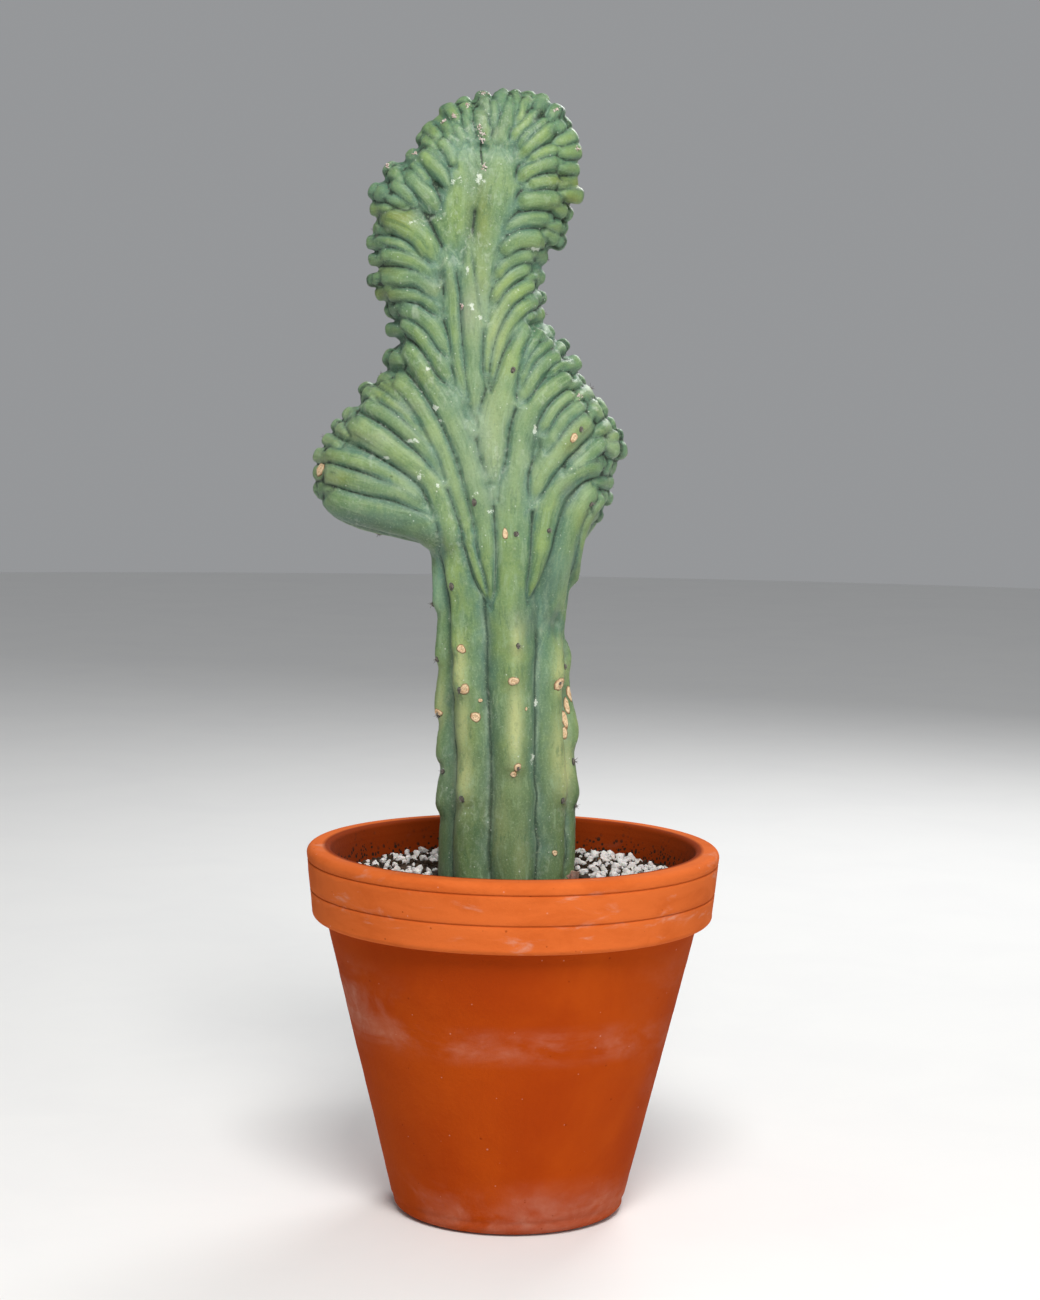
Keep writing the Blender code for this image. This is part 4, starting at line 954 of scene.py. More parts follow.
def ridge_heights(points, ribs):
    """Moves of the core's points outwards. Over each share of room stands an arch,
    (1 - t^p)^(1/p), on a low floor; where ribs end the floor comes up and the creases close.
    On the column a narrow bulge is added at each crest."""
    first, t, mine, rival, melt = room_shares(points, ribs)
    stands = on_stations(ribs, "stands")
    stands = stands[mine] * (1.0 - t / 2) + stands[rival] * t / 2
    stands = np.where(first < 8.0, stands, 0.0)
    floor = CREASE_FLOOR * (1.0 - soft_step(1.0, RIDGE_REACH, first))
    floor = np.maximum(floor, MELT_FLOOR * melt)
    share = soft_step(SLIM_BELOW, SLIM_ABOVE, points[:, 2])
    power = ARCH_POWER_COLUMN + (ARCH_POWER_CREST - ARCH_POWER_COLUMN) * share
    arch = (1.0 - t ** power) ** (1.0 / power)
    bulge = on_stations(ribs, "swell")[mine] * np.maximum(1.0 - (t / SWELL_REACH) ** 2, 0.0) ** 1.5
    return outward(points) * (stands * (floor + (1.0 - floor) * arch) + bulge)[:, None]


# %% [markdown]
# ## One skin from many ribs
#
# The ribs and the core overlap, and a plant has one skin. The Remesh modifier in voxel mode
# walks round everything that is joined in one mesh and lays a fresh, even skin over the whole,
# with nothing left inside. The fresh skin is then calmed: most of it a little, and the places
# where ribs sink back into the body a good deal more, so that they flow out of it. Last, the
# Decimate modifier takes faces away where they are least missed. The points in the deepest
# creases are kept out of its reach, because a crease with too few points breaks into dots.

# %% Skin the plant
SKIN_VOXEL = 0.7 * MM
SKIN_TRIANGLES = 196_000
CREASES_KEPT = 11  # per cent of the points, those in the deepest creases, never go

ribs = front + edge + backs + column
rings = core_rings(CORE_SIDES)
rings = rings + ridge_heights(rings.reshape(-1, 3), ribs).reshape(rings.shape)
core_shape = closed_tube(rings, rings[0].mean(axis=0), rings[-1].mean(axis=0))
cactus = piece_from("cactus_skin_piece", *joined([core_shape] + [rib["shape"] for rib in ribs]))
remesh = cactus.modifiers.new("One skin", "REMESH")
remesh.mode = "VOXEL"
remesh.voxel_size = SKIN_VOXEL
remesh.use_smooth_shade = True
bake_modifiers(cactus)


def drop_small_islands(mesh):
    """Keeps the largest connected part: labels spread along edges until none changes."""
    edges = read_edges(mesh)
    label = np.arange(len(mesh.vertices))
    while True:
        lowest = np.minimum(label[edges[:, 0]], label[edges[:, 1]])
        spread = label.copy()
        np.minimum.at(spread, edges[:, 0], lowest)
        np.minimum.at(spread, edges[:, 1], lowest)
        spread = spread[spread]
        if (spread == label).all():
            break
        label = spread
    largest = np.bincount(label).argmax()
    stray = np.nonzero(label != largest)[0]
    if len(stray):
        work = bmesh.new()
        work.from_mesh(mesh)
        work.verts.ensure_lookup_table()
        bmesh.ops.delete(work, geom=[work.verts[i] for i in stray], context="VERTS")
        work.to_mesh(mesh)
        work.free()
    print("stray points dropped:", len(stray))


drop_small_islands(cactus.data)
skin = read_points(cactus.data)
edges = read_edges(cactus.data)
ends = [rib["crest"][np.maximum(rib["fade"], rib["melt"]) > 0.5] for rib in front + backs]
root_gap = distance_to(skin, np.concatenate(ends))
calm = 0.45 * (1.0 - soft_step(1.0 * MM, 3.5 * MM, root_gap))
skin = relax(skin, edges, 10, calm)
hollow = -stands_out(skin, edges, read_normals(cactus.data), 3)
skin = relax(skin, edges, 4, 0.5 * soft_step(0.04 * MM, 0.20 * MM, hollow))
skin = relax(skin, edges, 1, 0.35)
write_points(cactus.data, skin)
out = read_normals(cactus.data)
lumps = 0.22 * noise(skin, 7 * MM, 3) + 0.10 * noise(skin, 2.6 * MM, 4)
lumps -= 0.7 * np.exp(-(slit_gap(skin) / 0.6) ** 2)
write_points(cactus.data, skin + out * (lumps * MM)[:, None])
skin = read_points(cactus.data)
hollow = -stands_out(skin, edges, read_normals(cactus.data), 3)
may_go = np.nonzero(hollow < np.percentile(hollow, 100 - CREASES_KEPT))[0]
cactus.vertex_groups.new(name="may_go").add(may_go.tolist(), 1.0, "REPLACE")
fewer = cactus.modifiers.new("Fewer", "DECIMATE")
fewer.vertex_group = "may_go"
triangles = sum(len(p.vertices) - 2 for p in cactus.data.polygons)
fewer.ratio = min(1.0, SKIN_TRIANGLES / triangles)
bake_modifiers(cactus)
cactus.vertex_groups.clear()
print("the plant's skin:", triangles, "triangles, then", len(cactus.data.polygons))

# %% [markdown]
# ## Reading the relief
#
# On the real plant the colour follows the form. The crests of the ribs are yellow-green, where
# the sun and the rain have worn the wax, and the flanks keep a blue-green bloom. Here the crests
# are also painted lighter and the flanks darker, as painted light and shade, and the creases get
# dark lines of painted shade. So the relief is measured on the finished mesh: a point that stands
# out from the mean of its neighbours is on a crest, and one that lies below it is in a crease. The
# same t that shaped the ribs says where the creases run. Each rib also gets a number of its own,
# and every point knows how far along its rib and how far beside it lies, which the finish turns
# into streaks. All of it is stored at the points of the mesh under names that the finish reads
# back.

# %% Crest, crease and tip
skin = read_points(cactus.data)
out = read_normals(cactus.data)
edges = read_edges(cactus.data)
near = stands_out(skin, edges, out, 3) / MM
wide = stands_out(skin, edges, out, 45) / MM
print("relief in mm:", np.percentile(near, [2, 98]).round(3), "near,",
      np.percentile(wide, [2, 98]).round(3), "wide")
first, t, mine, _, melt = room_shares(onto_core(skin), ribs)
alone = soft_step(1.3, 1.6, first)
# Painted shade: dark lines in the creases and in the slit of the hood.
line = soft_step(0.88, 0.985, t) * (1.0 - alone)
hollow = soft_step(0.03, 0.20, -near)
crease = np.clip(line * (0.75 + 0.25 * hollow) + 0.30 * hollow, 0.0, 1.0)
crease = relax(crease * (1.0 - 0.85 * melt), edges, 2, 0.4)
crease = np.maximum(crease, 0.8 * (1.0 - soft_step(0.2, 0.9, slit_gap(skin))))
on_top = 0.5 * soft_step(-0.45, 0.60, wide) + 0.5 * (1.0 - soft_step(0.30, 0.85, t))
owner = np.repeat(np.arange(len(ribs)), [len(rib["foot"]) for rib in ribs])[mine]
station = np.concatenate([np.arange(len(rib["foot"])) for rib in ribs])[mine]
tone = np.random.default_rng(SEED).uniform(0.0, 1.0, len(ribs))[owner]
tips = np.array([rib["crest"][3] for rib in front + edge if rib["tip"] != "rises"])
tip_gap = distance_to(skin, tips)
shade = soft_step(0.72, 1.0, t) * (1.0 - alone) * (1.0 - melt)
# Painted into the colour: shade in the creases and on the walls beside them, a pale highlight beside
# each crease, and lighter tops of the crests.
for name, values in {
    "crease": crease,
    "crest": relax(on_top, edges, 2),
    "shade": relax(shade, edges, 1),
    "melt": relax(melt, edges, 8),
    "edge_highlight": soft_step(0.80, 0.90, t) * (1.0 - soft_step(0.92, 0.98, t)),
    "tone": relax(tone, edges, 6),
    "tip": 1.0 - soft_step(1.0 * MM, 11.0 * MM, tip_gap),
    "along": station * RIB_SPACING / MM,
    "beside": first,
    "rib": owner.astype(float),
}.items():
    paint(cactus.data, name, values)

# %% [markdown]
# Some tints are not a matter of relief: pale patches above the areoles of the column, a few
# fingers that the sun has turned olive, a blue bloom and painted shade under the fans, chips of
# white wax, a greyish worn streak, and calm places where the ribs lie in even light, so that the
# painted shade of the creases is weaker there. Each is a soft spot seen from the front, so a point
# of the mesh is first carried along the line of sight to the plane y = 0.

# %% Soft spots of colour
CHIP_GROWTH = 1.3
SEEN_BEFORE = 4 * MM  # the depth up to which the skin is seen from the front
# Each spot: x, z, half width, half height, strength.
PALE_SPOTS = (
    (-28.5, 276, 3.4, 14, 0.9), (-26.5, 248, 3.6, 15, 0.8), (-25.5, 222, 4.2, 16, 0.8),
    (0.5, 290, 3.2, 11, 0.7), (0, 248, 3.8, 22, 1.0), (22, 276, 3.2, 13, 0.8),
    (22.5, 236, 3.8, 20, 0.7), (33, 262, 2.6, 16, 0.6), (-38, 258, 2.6, 14, 0.6),
    (26, 225, 3.4, 14, 0.9), (-8, 195, 6, 20, 0.3), (4, 182, 4, 14, 0.25),
    (-21, 462, 5, 20, 0.3), (-12, 446, 6, 22, 0.3), (-14, 400, 6, 25, 0.25),
)
OLIVE_SPOTS = (
    (-62, 502, 11, 5, 1.0), (-68, 476, 8, 3, 0.8), (-68, 464, 9, 3.5, 0.9), (-92, 372, 10, 5, 0.9),
    (-96, 381, 6, 4, 0.7), (-84, 393, 7, 4, 0.5), (18, 521, 8, 4, 0.7), (24, 511, 5, 4, 1.0),
    (27, 520, 5, 4, 0.8), (18, 508, 9, 4, 0.5), (16, 496, 6, 3, 0.5), (6, 488, 8, 4, 0.5),
    (-21, 506, 5, 22, 0.75), (-26, 500, 3, 16, 0.6), (26, 389, 5, 4, 0.8), (34, 352, 5, 5, 0.7),
    (44, 396, 5, 3, 0.5), (-66, 418, 8, 4, 0.5), (-47, 424, 7, 5, 0.4), (30, 398, 7, 4, 0.5),
)
BLUE_SPOTS = (
    (-72, 351, 28, 6, 1.0), (-47, 344, 8, 6, 0.8), (-41, 318, 5, 18, 0.9), (22, 326, 7, 13, 0.8),
    (9, 232, 3, 12, 0.6), (12, 200, 5, 22, 0.4), (-66, 512, 10, 8, 0.4), (-60, 470, 12, 14, 0.35),
    (-34, 230, 4, 30, 0.4), (38, 350, 6, 10, 0.4), (4, 490, 6, 18, 0.3), (-30, 535, 8, 6, 0.4),
)
CALM_SPOTS = (
    (-18, 385, 18, 36, 1.0), (-22, 448, 11, 30, 0.7), (0, 378, 10, 26, 0.6), (-54, 368, 18, 9, 0.6),
    (16, 372, 10, 14, 0.4),
)
CHALK_SPOTS = (
    (-54, 391, 2.6, 1.0, 1.0), (-66.8, 382, 2.0, 1.0, 0.9), (-50, 373.7, 1.5, 2.2, 0.9),
    (-40.6, 367.5, 1.3, 1.9, 1.0), (-46, 426.7, 1.4, 1.0, 0.9), (-42, 407.5, 1.5, 1.1, 1.0),
    (-24.8, 458, 1.2, 1.8, 1.0), (-27, 477, 1.0, 2.6, 0.8), (-21.5, 364, 1.5, 1.1, 0.9),
    (7.5, 397, 1.1, 2.4, 0.9), (-20.5, 452.5, 1.0, 1.3, 0.9), (-14, 356.5, 1.8, 0.9, 0.8),
    (-39, 401, 1.8, 0.9, 0.8), (10, 260, 1.2, 2.6, 0.7), (-9.5, 254, 1.0, 1.8, 0.6),
    (8.8, 232, 0.9, 3.0, 0.8), (6, 487, 4.0, 1.2, 0.7), (-33, 520, 5.0, 2.5, 0.5),
    (-21, 521.5, 4.0, 3.0, 0.7), (-54, 499, 5.0, 2.0, 0.5), (-2, 466, 4.5, 1.2, 0.5),
)
# Painted shade under the fans.
SHADE_SPOTS = (
    (-74, 349, 26, 7, 0.75), (-48, 341, 9, 7, 0.6), (41, 352, 6, 9, 0.45), (-60, 458, 9, 8, 0.3),
    (-70, 440, 8, 10, 0.35), (14, 470, 6, 14, 0.3),
)
WORN_SPOTS = (
    (-27, 455, 4, 10, 0.9), (-41, 468, 9, 5, 0.4), (-20, 553, 4, 9, 0.4), (-14, 544, 3, 3, 0.6),
    (-54, 408, 10, 4, 0.5), (-73, 392, 10, 3, 0.5), (25, 367, 4, 6, 0.5), (2, 300, 9, 8, 0.4),
)


def soft_spots(points, spots):
    """The strongest of the bells exp(-(x/w)^2 - (z/h)^2) round the spots, on the front only."""
    seen = seen_from_front(points) / MM
    best = np.zeros(len(points))
    for x, z, half_width, half_height, strength in spots:
        away = ((seen[:, 0] - x) / half_width) ** 2 + ((seen[:, 1] - z) / half_height) ** 2
        best = np.maximum(best, strength * np.exp(-away))
    return best * (points[:, 1] < SEEN_BEFORE)


chip_spots = [(x, z, CHIP_GROWTH * w, CHIP_GROWTH * h, share) for x, z, w, h, share in CHALK_SPOTS]
for name, spots in {
    "pale": PALE_SPOTS, "olive": OLIVE_SPOTS, "blue": BLUE_SPOTS, "worn": WORN_SPOTS,
    "dim": SHADE_SPOTS, "chalk": chip_spots, "calm": CALM_SPOTS,
}.items():
    paint(cactus.data, name, soft_spots(skin, spots))
print("spots:", len(PALE_SPOTS) + len(OLIVE_SPOTS) + len(BLUE_SPOTS), "tints,",
      len(chip_spots), "chips")

# %% [markdown]
# ## Building finishes from nodes
#
# A material in Blender is a small network: nodes make colours and masks, and one shader turns
# them into a surface. Most finishes here are one colour with layers laid over it, each through
# a mask and at a strength, so a finish is written as a list of layers. Effects that several
# finishes share, such as a fine grain, a drift of dust or a scatter of specks, are node groups,
# built once here and placed in each material with its own values.

# %% Node helpers and shared groups
def add_node(tree, kind, inputs=(), **settings):
    """A node with its settings; each input is a number, a colour, or another node's socket."""
    made = tree.nodes.new(kind)
    for name, value in settings.items():
        setattr(made, name, value)
    for key, value in dict(inputs).items():
        if isinstance(value, bpy.types.NodeSocket):
            tree.links.new(value, made.inputs[key])
        else:
            made.inputs[key].default_value = value
    return made


def arithmetic(tree, operation, *values, clamp=False):
    """One step of arithmetic on numbers or sockets."""
    return add_node(
        tree, "ShaderNodeMath", dict(enumerate(values)), operation=operation, use_clamp=clamp
    ).outputs[0]


def times(tree, first, second, plus=None, clamp=False):
    """The product of two values, with a third one added to it if there is one."""
    if plus is None:
        return arithmetic(tree, "MULTIPLY", first, second, clamp=clamp)
    return arithmetic(tree, "MULTIPLY_ADD", first, second, plus, clamp=clamp)


def blend_colours(tree, share, first, second):
    """Where share is 0 the first colour, where it is 1 the second."""
    made = add_node(tree, "ShaderNodeMix", {0: share}, data_type="RGBA", blend_type="MIX")
    for socket, value in ((made.inputs[6], first), (made.inputs[7], second)):
        if isinstance(value, bpy.types.NodeSocket):
            tree.links.new(value, socket)
        else:
            socket.default_value = (*value, 1.0)
    return made.outputs[2]


def remap(tree, value, low, high):
    """0 at low and 1 at high, with soft ends."""
    made = add_node(
        tree, "ShaderNodeMapRange", {"Value": value, "From Min": low, "From Max": high},
        interpolation_type="SMOOTHSTEP",
    )
    return made.outputs["Result"]


def hump(tree, value, middle, half):
    """1 at the middle, falling to 0 at half on either side."""
    away = arithmetic(tree, "ABSOLUTE", arithmetic(tree, "SUBTRACT", value, middle))
    return remap(tree, away, half, 0.0)


def stored(tree, name):
    """The number painted on the mesh under that name."""
    return add_node(tree, "ShaderNodeAttribute", attribute_name=name).outputs["Fac"]


def start_group(name, output, **values):
    """A group with one number in for each value, one number out, and the surface's place."""
    group = bpy.data.node_groups.new(name, "ShaderNodeTree")
    for label, value in values.items():
        socket = group.interface.new_socket(
            label, in_out="INPUT", socket_type="NodeSocketFloat"
        )
        socket.default_value = value
    group.interface.new_socket(output, in_out="OUTPUT", socket_type="NodeSocketFloat")
    where = group.nodes.new("ShaderNodeTexCoord").outputs["Object"]
    return group, group.nodes.new("NodeGroupInput").outputs, where


def end_group(group, result):
    """Leads the result out of the group."""
    group.links.new(result, group.nodes.new("NodeGroupOutput").inputs[0])
    return group


def grain_group():
    """Noise at two sizes, added: lumps at Scale and finer grit at four times it."""
    group, given, where = start_group("grain", "Height", Scale=300.0, Grit=0.4)
    coarse = add_node(group, "ShaderNodeTexNoise", {
        "Vector": where, "Scale": given["Scale"], "Detail": 3.0,
    }).outputs["Fac"]
    finer = times(group, given["Scale"], 4.3)
    grit = add_node(group, "ShaderNodeTexNoise", {
        "Vector": where, "Scale": finer, "Detail": 2.0,
    }).outputs["Fac"]
    return end_group(group, times(group, grit, given["Grit"], coarse))


def drift_group():
    """Patches: distorted noise at Scale, cut softly between Low and High."""
    group, given, where = start_group(
        "drift", "Mask", Scale=20.0, Low=0.45, High=0.7, Stretch=1.0
    )
    scale = add_node(group, "ShaderNodeCombineXYZ", {
        "X": 1.0, "Y": 1.0, "Z": given["Stretch"],
    }).outputs["Vector"]
    squeezed = add_node(
        group, "ShaderNodeVectorMath", {0: where, 1: scale}, operation="MULTIPLY"
    ).outputs["Vector"]
    patches = add_node(group, "ShaderNodeTexNoise", {
        "Vector": squeezed, "Scale": given["Scale"], "Detail": 6.0, "Roughness": 0.6,
        "Distortion": 0.6,
    }).outputs["Fac"]
    return end_group(group, remap(group, patches, given["Low"], given["High"]))


def specks_group():
    """Dots: the distance to the nearest of many scattered centres, cut at Size, and thinned
    out by each centre's own random number."""
    group, given, where = start_group("specks", "Mask", Scale=200.0, Size=0.25, Share=0.2)
    cells = add_node(group, "ShaderNodeTexVoronoi", {
        "Vector": where, "Scale": given["Scale"], "Randomness": 1.0,
    })
    chance = add_node(group, "ShaderNodeSeparateColor", {"Color": cells.outputs["Color"]})
    kept = arithmetic(group, "LESS_THAN", chance.outputs[0], given["Share"])
    own = times(group, chance.outputs[1], given["Size"])
    dot = remap(group, cells.outputs["Distance"], own, times(group, own, 0.6))
    return end_group(group, times(group, dot, kept))


GRAIN, DRIFT, SPECKS = grain_group(), drift_group(), specks_group()
print("shared effects:", [group.name for group in (GRAIN, DRIFT, SPECKS)])


def placed(tree, group, *values):
    """The shared effect placed in this material with its own values, in the group's order."""
    made = tree.nodes.new("ShaderNodeGroup")
    made.node_tree = group
    for socket, value in zip(made.inputs, values):
        socket.default_value = value
    return made.outputs[0]


def grain(tree, scale, grit):
    """The shared grain as a height."""
    return placed(tree, GRAIN, scale, grit)


def drift(tree, scale, low, high, stretch=1.0):
    """The shared drift as a mask; a low stretch draws its patches out upwards."""
    return placed(tree, DRIFT, scale, low, high, stretch)


def specks(tree, scale, size, share):
    """The shared specks as a mask."""
    return placed(tree, SPECKS, scale, size, share)


def new_finish(name, roughness, **settings):
    """A material with its one shader; steady values are set straight on the shader."""
    finish = bpy.data.materials.new(name)
    finish.use_nodes = True
    tree = finish.node_tree
    shader = tree.nodes["Principled BSDF"]
    shader.inputs["Roughness"].default_value = roughness
    for label, value in settings.items():
        shader.inputs[label.replace("_", " ")].default_value = value
    return finish, tree, shader


def position(tree):
    """The place on the surface, as three numbers under the names X, Y and Z."""
    where = tree.nodes.new("ShaderNodeTexCoord").outputs["Object"]
    return add_node(tree, "ShaderNodeSeparateXYZ", {"Vector": where}).outputs


def mask_of(tree, mask):
    """A mask is a socket, the name of a painted number, such a name with the two values between
    which it is cut, or a shared effect with its values."""
    if isinstance(mask, str):
        return stored(tree, mask)
    if not isinstance(mask, tuple):
        return mask
    if isinstance(mask[0], str):
        return remap(tree, stored(tree, mask[0]), *mask[1:])
    return placed(tree, *mask)


def layered(tree, colour, *layers):
    """Colours laid over one another; each layer is a mask, its strength and its colour."""
    for mask, strength, above in layers:
        share = times(tree, mask_of(tree, mask), strength)
        colour = blend_colours(tree, share, colour, above)
    return colour


def strongest(tree, *layers):
    """The largest of several masks, each scaled by its strength."""
    best = 0.0
    for mask, strength in layers:
        best = arithmetic(tree, "MAXIMUM", best, times(tree, mask_of(tree, mask), strength))
    return best


def bumped(tree, shader, height, strength, distance):
    """Tilts the surface by the slope of the height."""
    bump = add_node(tree, "ShaderNodeBump", {
        "Height": height, "Strength": strength, "Distance": distance,
    })
    tree.links.new(bump.outputs["Normal"], shader.inputs["Normal"])


def simple_finish(name, roughness, colour, *layers, grit=(), **settings):
    """A finish of layers over one colour; grit is a grain's two values, the strength of the
    bump that it makes and how deep that is."""
    finish, tree, shader = new_finish(name, roughness, **settings)
    tree.links.new(layered(tree, colour, *layers), shader.inputs["Base Color"])
    if grit:
        bumped(tree, shader, grain(tree, *grit[:2]), *grit[2:])
    return finish


# %% [markdown]
# ## The skin's finish
#
# A cactus wears a thin coat of wax. It makes the skin matt and bluish where it is whole and
# lets the yellow-green show where it has rubbed off. The finish starts from the blue-green of
# the flanks, warms and lightens it on the crests, partly as worn wax and partly as painted light,
# and on the tips, pales the webs where ribs melt into the body, and adds the spots painted above.
# Streaks run along every rib. The foot of the column is darkened, the creases and the walls beside
# them get painted shade, on the column a pale painted highlight runs beside each crease, and the
# wax comes last: soft pale drifts, chalky flecks and chips, and a stipple so fine that it only
# breaks the colour.

# %% The skin's finish
# Crests against flanks: the worn wax, and also painted light on the crests and painted shade on the
# flanks.
FLANK_GREEN = (0.072, 0.158, 0.104)
CREST_GREEN = (0.205, 0.295, 0.082)
DEEP_GREEN = (0.085, 0.160, 0.052)
TIP_GREEN = (0.170, 0.290, 0.135)
WEB_GREEN = (0.195, 0.300, 0.190)
FAN_GREEN = (0.290, 0.370, 0.260)
STREAK_LIGHT = (0.255, 0.355, 0.200)
STREAK_DEEP = (0.055, 0.120, 0.050)
FOOT_GREEN = (0.092, 0.138, 0.060)
PALE_GREEN = (0.400, 0.430, 0.185)
OLIVE_GREEN = (0.165, 0.200, 0.035)
BLOOM = (0.130, 0.245, 0.195)
WORN = (0.270, 0.285, 0.215)
SHADE_GREEN = (0.030, 0.064, 0.042)
# Painted shade for the creases.
CREASE_SHADE_GREEN = (0.006, 0.013, 0.007)
# A painted highlight beside the column's creases.
EDGE_HIGHLIGHT_GREEN = (0.250, 0.340, 0.235)
CHALK = (0.60, 0.65, 0.56)
# Heights in metres, as the finish reads them.
COLUMN_ENDS, CREST_BEGINS = 0.335, 0.365
FOOT_DEEPEST, FOOT_BELOW = 0.17, 0.345
FANS_HEIGHT, FANS_REACH = 0.388, 0.055


def rib_streaks(tree):
    """Noise laid along the ribs: fine across them, long down them, and new on each rib."""
    stretched = {"X": ("beside", 4.0), "Y": ("along", 0.07), "Z": ("rib", 3.7)}
    on_rib = add_node(tree, "ShaderNodeCombineXYZ", {
        axis: times(tree, stored(tree, name), scale) for axis, (name, scale) in stretched.items()
    })
    return add_node(tree, "ShaderNodeTexNoise", {
        "Vector": on_rib.outputs["Vector"], "Scale": 1.0, "Detail": 4.0, "Roughness": 0.65,
    }).outputs["Fac"]


def skin_finish():
    """From the flanks' green outwards: form with painted light on the crests, painted spots,
    streaks, bloom, painted shade, a painted highlight beside the column's creases, and wax.
    """
    finish, tree, shader = new_finish(
        "waxy_green_skin", 0.5, Subsurface_Weight=0.05, Subsurface_Scale=0.003,
        Specular_IOR_Level=0.35,
    )
    height = position(tree)["Z"]
    column = remap(tree, height, CREST_BEGINS, COLUMN_ENDS)
    in_crest = arithmetic(tree, "SUBTRACT", 1.0, column)
    crest_now = stored(tree, "crest")
    mottle = drift(tree, 75.0, 0.36, 0.66, 0.7)
    # Lighter crests: partly worn wax, partly painted light on the tops.
    worn_and_lit_crest = times(tree, mottle, 0.5, crest_now)
    worn_and_lit_crest = arithmetic(tree, "SUBTRACT", worn_and_lit_crest, 0.38, clamp=True)
    web = times(tree, stored(tree, "melt"), in_crest)
    streaks = rib_streaks(tree)
    hollow = arithmetic(tree, "SUBTRACT", 1.1, crest_now)
    bloom = times(tree, drift(tree, 30.0, 0.44, 0.68, 0.6), hollow, clamp=True)
    fans = hump(tree, height, FANS_HEIGHT, FANS_REACH)
    plain = times(tree, stored(tree, "calm"), -0.65, 1.0)
    shade = times(tree, stored(tree, "shade"), plain)
    crease = times(tree, mask_of(tree, ("crease", 0.20, 0.70)), plain)
    edge_highlight = times(tree, stored(tree, "edge_highlight"), column)
    chalky = times(tree, drift(tree, 34.0, 0.48, 0.66, 0.8), 0.4)
    chalky = times(tree, web, 0.35, chalky)
    powder = times(tree, drift(tree, 420.0, 0.50, 0.66, 0.7), chalky)
    chalk = strongest(
        tree, ((SPECKS, 620.0, 0.36, 0.08), 1.0), ((DRIFT, 70.0, 0.66, 0.78, 0.35), 0.5),
        (powder, 1.0),
    )
    chips = times(tree, stored(tree, "chalk"), 0.75, grain(tree, 420.0, 0.6))
    stipple = grain(tree, 950.0, 0.8)
    colour = layered(
        tree, FLANK_GREEN,
        (worn_and_lit_crest, 1.0, CREST_GREEN),
        ((DRIFT, 48.0, 0.50, 0.70, 0.8), 0.5, DEEP_GREEN),
        ("tip", 0.4, TIP_GREEN),
        ("tone", 0.42, FLANK_GREEN),
        (web, 0.40, WEB_GREEN),
        (remap(tree, height, FOOT_BELOW, FOOT_DEEPEST), 0.70, FOOT_GREEN),
        ("pale", 1.0, PALE_GREEN),
        ("olive", 0.85, OLIVE_GREEN),
        ("blue", 0.6, BLOOM),
        (remap(tree, streaks, 0.52, 0.70), 0.45, STREAK_LIGHT),
        (remap(tree, streaks, 0.48, 0.32), 0.50, STREAK_DEEP),
        (bloom, 0.35, BLOOM),
        ("worn", 0.5, WORN),
        (times(tree, fans, mottle), 0.30, FAN_GREEN),
        ("calm", 0.20, FAN_GREEN),
        # Painted shade on the walls of the creases.
        (shade, times(tree, in_crest, 0.14, 0.55), SHADE_GREEN),
        # Painted shade under the fans.
        ("dim", 0.7, SHADE_GREEN),
        # Painted shade: dark lines in the creases, weaker on the column.
        (crease, times(tree, column, -0.37, 0.84), CREASE_SHADE_GREEN),
        # Painted highlight: a pale band beside each crease on the column.
        (times(tree, edge_highlight, mottle), 0.6, EDGE_HIGHLIGHT_GREEN),
        (chalk, 0.50, CHALK),
        (remap(tree, chips, 1.14, 1.30), 0.80, CHALK),
        (remap(tree, stipple, 0.95, 1.20), 0.50, STREAK_LIGHT),
        (remap(tree, stipple, 0.85, 0.60), 0.38, STREAK_DEEP),
    )
    tree.links.new(colour, shader.inputs["Base Color"])
    tree.links.new(times(tree, bloom, 0.15, 0.46), shader.inputs["Roughness"])
    relief = times(tree, streaks, 0.9, times(tree, grain(tree, 620.0, 0.5), 0.5))
    bumped(tree, shader, times(tree, chalk, 0.15, relief), 0.45, 0.0008)
    return finish


settle(cactus, skin_finish(), ("cactus",))

# %% [markdown]
# ## The pot
#
# A clay pot is thrown or pressed as a solid of revolution, so it is an outline turned round the
# middle. The outline is the measured model's own, with many more points round the turn and along
# the wall. Then the real thing's small faults go in: the wall wanders by a third of a
# millimetre, as fired clay does, and faint rings run round it where a tool scraped the mould.
# The faults only ever take clay away, so the pot never outgrows its measured size.

# %% The pot's outline
POT_HEIGHT, BAND_HEIGHT = 186.5 * MM, 36.0 * MM
RIM_RADIUS, RIM_INNER_RADIUS = 105.0 * MM, 92.8 * MM
BAND_LOWER_RADIUS, BODY_TOP_RADIUS, BASE_RADIUS = 102.0 * MM, 94.6 * MM, 58.5 * MM
BASE_ROUND, POT_WALL, POT_FLOOR, DRAIN_RADIUS = 7.0 * MM, 10.0 * MM, 12.0 * MM, 11.0 * MM
GROOVE_DEPTH, GROOVE_HALF = 0.8 * MM, 0.9 * MM
GROOVES_BELOW_TOP = (6.4 * MM, 21.5 * MM)
SHOULDER = POT_HEIGHT - BAND_HEIGHT


def inner_radius(z):
    """The inner wall's radius: the slope of the body up to the shoulder, then of the rim."""
    top, foot = BODY_TOP_RADIUS - POT_WALL, BASE_RADIUS - POT_WALL
    rim = top + 2 * MM + (RIM_INNER_RADIUS - top - 2 * MM) * (z - SHOULDER) / BAND_HEIGHT
    body = foot + (top - foot) * (z - POT_FLOOR) / (SHOULDER - POT_FLOOR)
    return np.where(z >= SHOULDER, rim, body)


def arc(centre, radius, start, end, steps):
    """Points at even angles, in degrees, on a circle in the outline's plane."""
    turn = np.radians(np.linspace(start, end, steps))
    return list(zip(centre[0] + radius * np.cos(turn), centre[1] + radius * np.sin(turn)))


